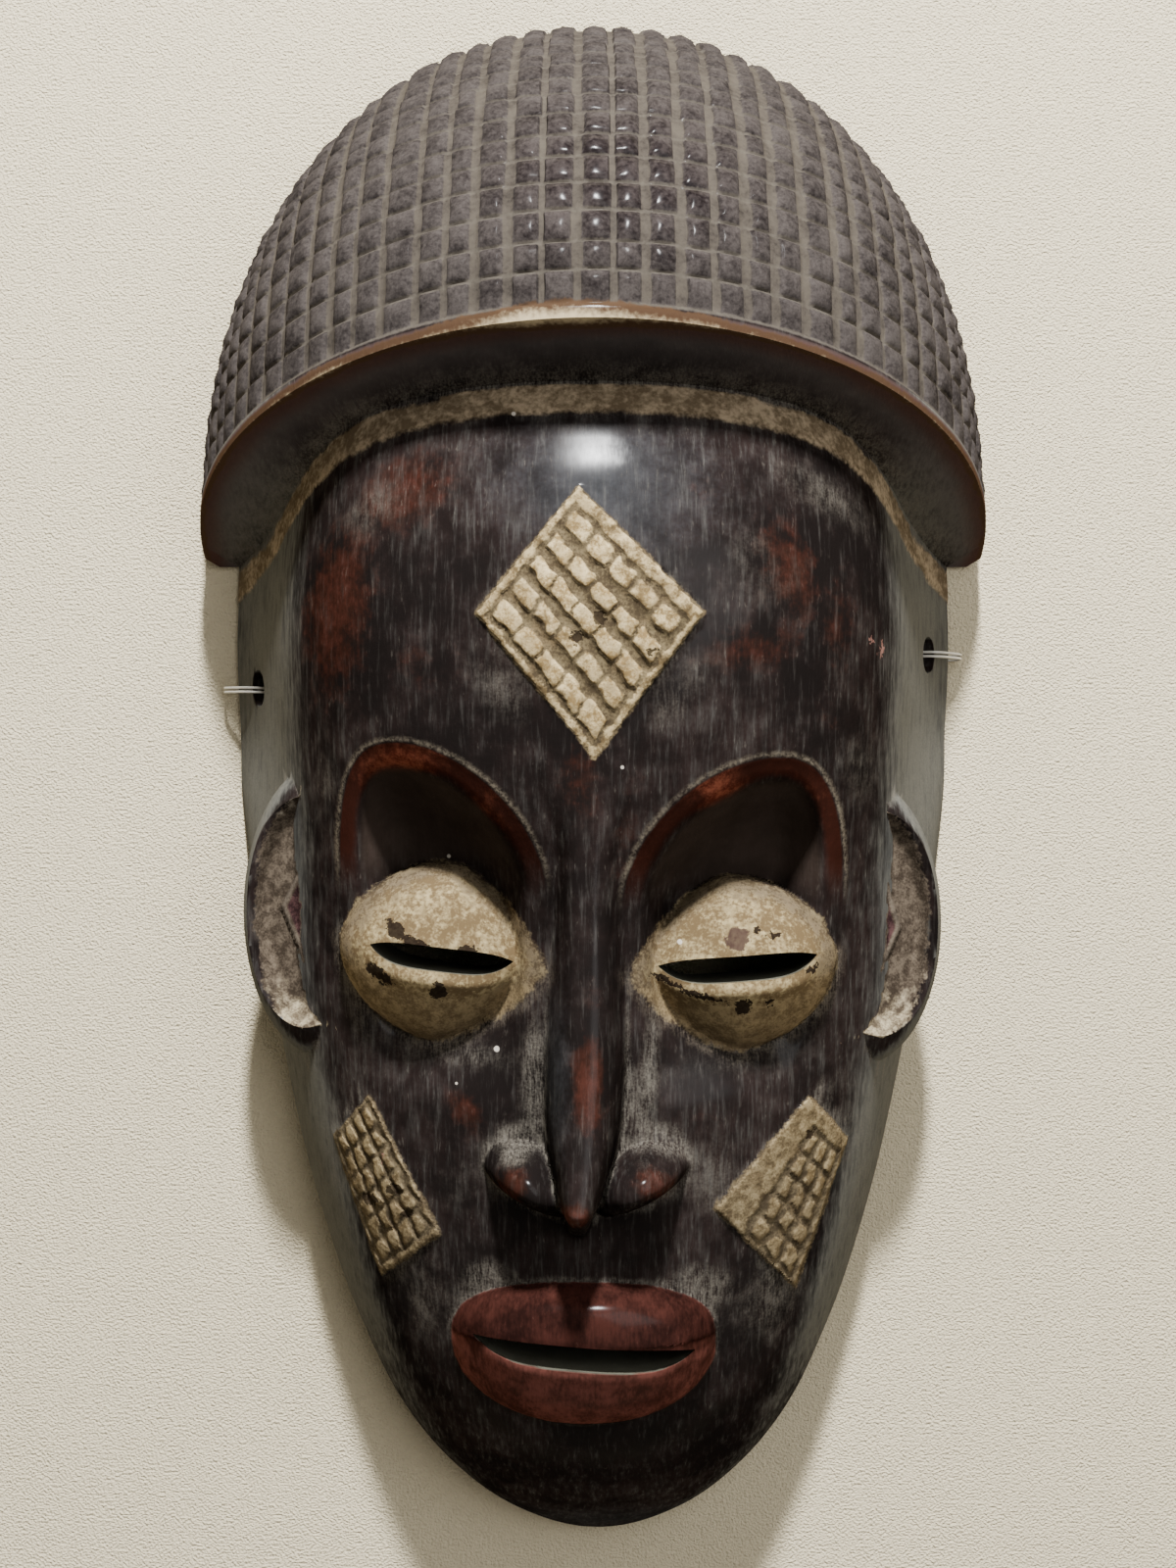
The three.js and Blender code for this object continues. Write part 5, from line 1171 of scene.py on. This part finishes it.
# The coats, from the bare stain up: where each lies, its darker and lighter colour, and its tone.
colour = linear("#1a1615")
for where, darker, lighter, tone in (
    ("stain_tone", "#231a18", "#332826", "mottle"), ("grain_lines", "#2b2725", "#3f3a37", "mottle"),
    ("worn_dull", "#28170f", "#3a201a", "crust"), ("worn_bright", "#3d2019", "#5a342b", "fine"),
    # The bluish grey that follows the worn rows is the painted sheen on the forehead, the nose and the
    # chin.
    ("bloom", "#3a3c3f", "#54575b", "mottle"), ("flecks", "#4a453f", "#767067", "speckle"),
    # Greys of the painted sheen on the side planes; the second also stands for dust.
    ("side_seen", "#4c4c48", "#6e6d69", "grain"), ("side_dust", "#55544d", "#7d7b72", "speckle"),
    ("bevel", "#29150f", "#3d2019", "mottle"), ("bevel_red", "#5f2c20", "#8f513d", "crust_tone"),
    # Tone of the painted shade deep in the sockets.
    ("socket_dark", "#2d2621", "#453a34", "mottle"), ("chalk", "#655d52", "#8e8472", "speckle"),
    ("dust", "#56524b", "#868075", "speckle"), ("eye_dust", "#4c443a", "#776d5f", "speckle"),
    # Lip colours: lighter for painted fill light on the lower lip, darker for painted shade on the upper
    # lip.
    ("lip_paint", "#40251f", "#75463e", "lip_tone"), ("lip_above", "#1b0e0c", "#391f1a", "lip_tone"),
    ("lip_scratch", "#4a342e", "#6b5046", "speckle"), ("band_place", "#665845", "#a8967c", "band_tone"),
    ("panel_place", "#463c2e", "#75684f", "crust_tone"),
    ("block_tops", "#8d7650", "#dcc698", "crust_tone"),
    ("cheek_panels", "#463d30", "#695e4b", "crust_tone"), ("panel_dirt", "#6a5840", "#7d6b50", "fine"),
    ("eye_place", "#6a5940", "#d0bd8e", "eye_tone"), ("eye_worn", "#463d31", "#776a57", "crust_tone"),
    # Among these, the browns of the eye's lower half stand for dirt and painted shade.
    ("eye_brown", "#473b2a", "#6c5b42", "fine"), ("eye_low", "#65563f", "#93805f", "crust_tone"),
    ("eye_foot", "#4b3f34", "#6a5b49", "crust"), ("chip", "#15100e", "#2a211c", "fine"),
    ("stain", "#372926", "#4f3e39", "crust"), ("ear_place", "#3b332b", "#6a5f52", "crust_tone"),
    ("ear_low", "#665a49", "#b5a88b", "crust_tone"), ("ear_tip", "#a59a86", "#cfc6b2", "crust_tone"),
    ("leaf", "#291b1d", "#4f3536", "crust_tone"), ("leaf_edge", "#6a6156", "#857c70", "speckle"),
    ("hair", "#191415", "#3e3736", "hair_tone"), ("hair_dusty", "#3f3b38", "#615c58", "speckle"),
    ("groove_dust", "#3f3a34", "#615a50", "mottle"), ("cross_dust", "#433e38", "#625c53", "fine"),
    # Pale grey of the painted fill light under the ledge.
    ("ledge", "#4b4545", "#6a6463", "mottle"), ("rim_red", "#3b1f17", "#553225", "fine"),
    # Gold and cream of the rim: wear, and a painted highlight at the middle.
    ("rim_lit", "#4e3b2b", "#d0be99", "rim_tone"), ("inside", "#241b16", "#35291f", "mottle"),
    # Pale grey-green of the painted light on the slot walls.
    ("slot_wall", "#55544a", "#757466", "mottle"), ("hole", "#1c1612", "#2c231b", "fine"),
    ("nick", "#bfb6a8", "#e0d8cc", "fine"), ("scrape", "#6e4238", "#b98e82", "fine"),
):
    tint = add(tree, "ShaderNodeMix", {0: field[tone], 6: linear(darker), 7: linear(lighter)},
               data_type="RGBA")
    coated = add(tree, "ShaderNodeMix", {0: field[where], 6: colour, 7: tint.outputs[2]}, data_type="RGBA")
    colour = coated.outputs[2]

# Wax shines on the stained wood, and paint and dust are dull. The bump is the grain, the crust of
# the paint, and the step down into each chip.
for name, terms in {
    "dullness": {"one": 0.14, "mottle": 0.22, "fine": 0.1, "dust": 0.4, "band_place": 0.35,
                 "panel_place": 0.4, "eye_place": 0.3, "ear_place": 0.3, "groove_dust": 0.4,
                 "side_seen": 0.18, "inside": 0.4, "bevel": 0.15, "lip_paint": -0.06},
    "relief": {"grain": 0.4, "fleck": 0.3, "crust": 0.3, "eye_place": 0.4, "block_tops": 0.5, "chip": -0.8,
               "hole": -1.2, "panel_dirt": -0.5, "dust": 0.15, "cloud": 0.4},
}.items():
    field[name] = weighted_sum(terms).outputs[0]
bump = add(tree, "ShaderNodeBump", {"Height": field["relief"], "Strength": 0.6, "Distance": 0.0004})
surface = add(tree, "ShaderNodeBsdfPrincipled", {
    "Base Color": colour, "Roughness": field["dullness"], "Normal": bump, "IOR": 1.5,
    "Specular IOR Level": 0.0, "Coat Weight": field["wax"], "Coat Roughness": 0.19, "Coat IOR": 1.5,
})
add(tree, "ShaderNodeOutputMaterial", {0: surface})
finished.materials.clear()
finished.materials.append(wood)
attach(mask, "root")
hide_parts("mask")

# Floor and light. The floor is plain pale cream plaster with fine pores. A small window stands
# beyond the head, a wide ceiling light fills from the right, and the room is dim and warm.
FLOOR_REACH = 1.5
bm = bmesh.new()
bmesh.ops.create_grid(bm, x_segments=1, y_segments=1, size=FLOOR_REACH)
mesh = bpy.data.meshes.new("floor")
bm.to_mesh(mesh)
bm.free()
floor = bpy.data.objects.new("floor", mesh)
scene.collection.objects.link(floor)
plaster, tree = new_material("pale_painted_plaster")
spot = add(tree, "ShaderNodeTexCoord").outputs["Object"]
pores = add(tree, "ShaderNodeTexNoise", {"Vector": spot, "Scale": 2400.0, "Detail": 2.0})
lumps = add(tree, "ShaderNodeTexNoise", {"Vector": spot, "Scale": 1600.0, "Detail": 1.0})
paint = add(tree, "ShaderNodeMix", {0: pores, 6: linear("#e9d9b5"), 7: linear("#f5e8c8")},
            data_type="RGBA")
fine_lumps = add(tree, "ShaderNodeMath", {0: pores, 1: 0.35, 2: lumps}, operation="MULTIPLY_ADD")
bump = add(tree, "ShaderNodeBump", {"Height": fine_lumps, "Strength": 1.0, "Distance": 0.0008})
surface = add(tree, "ShaderNodeBsdfPrincipled", {
    "Base Color": paint.outputs[2], "Roughness": 0.9, "Normal": bump,
})
add(tree, "ShaderNodeOutputMaterial", {0: surface})
mesh.materials.append(plaster)

for name, where, size, watts in (
    ("window", (0.03, 1.0, 0.8), (0.07, 0.14), 44), ("ceiling", (0.5, 0.3, 1.2), (1.0, 0.8), 8),
):
    lamp = bpy.data.lights.new(name, "AREA")
    lamp.shape = "RECTANGLE"
    lamp.size, lamp.size_y = size
    lamp.energy = watts
    made = bpy.data.objects.new(name, lamp)
    made.location = where
    made.rotation_euler = (-Vector(where)).to_track_quat("-Z", "Y").to_euler()
    scene.collection.objects.link(made)
world = bpy.data.worlds.new("room")
world.use_nodes = True
room = world.node_tree.nodes["Background"]
room.inputs["Color"].default_value = linear("#e9e2d4")
room.inputs["Strength"].default_value = 0.21
scene.world = world
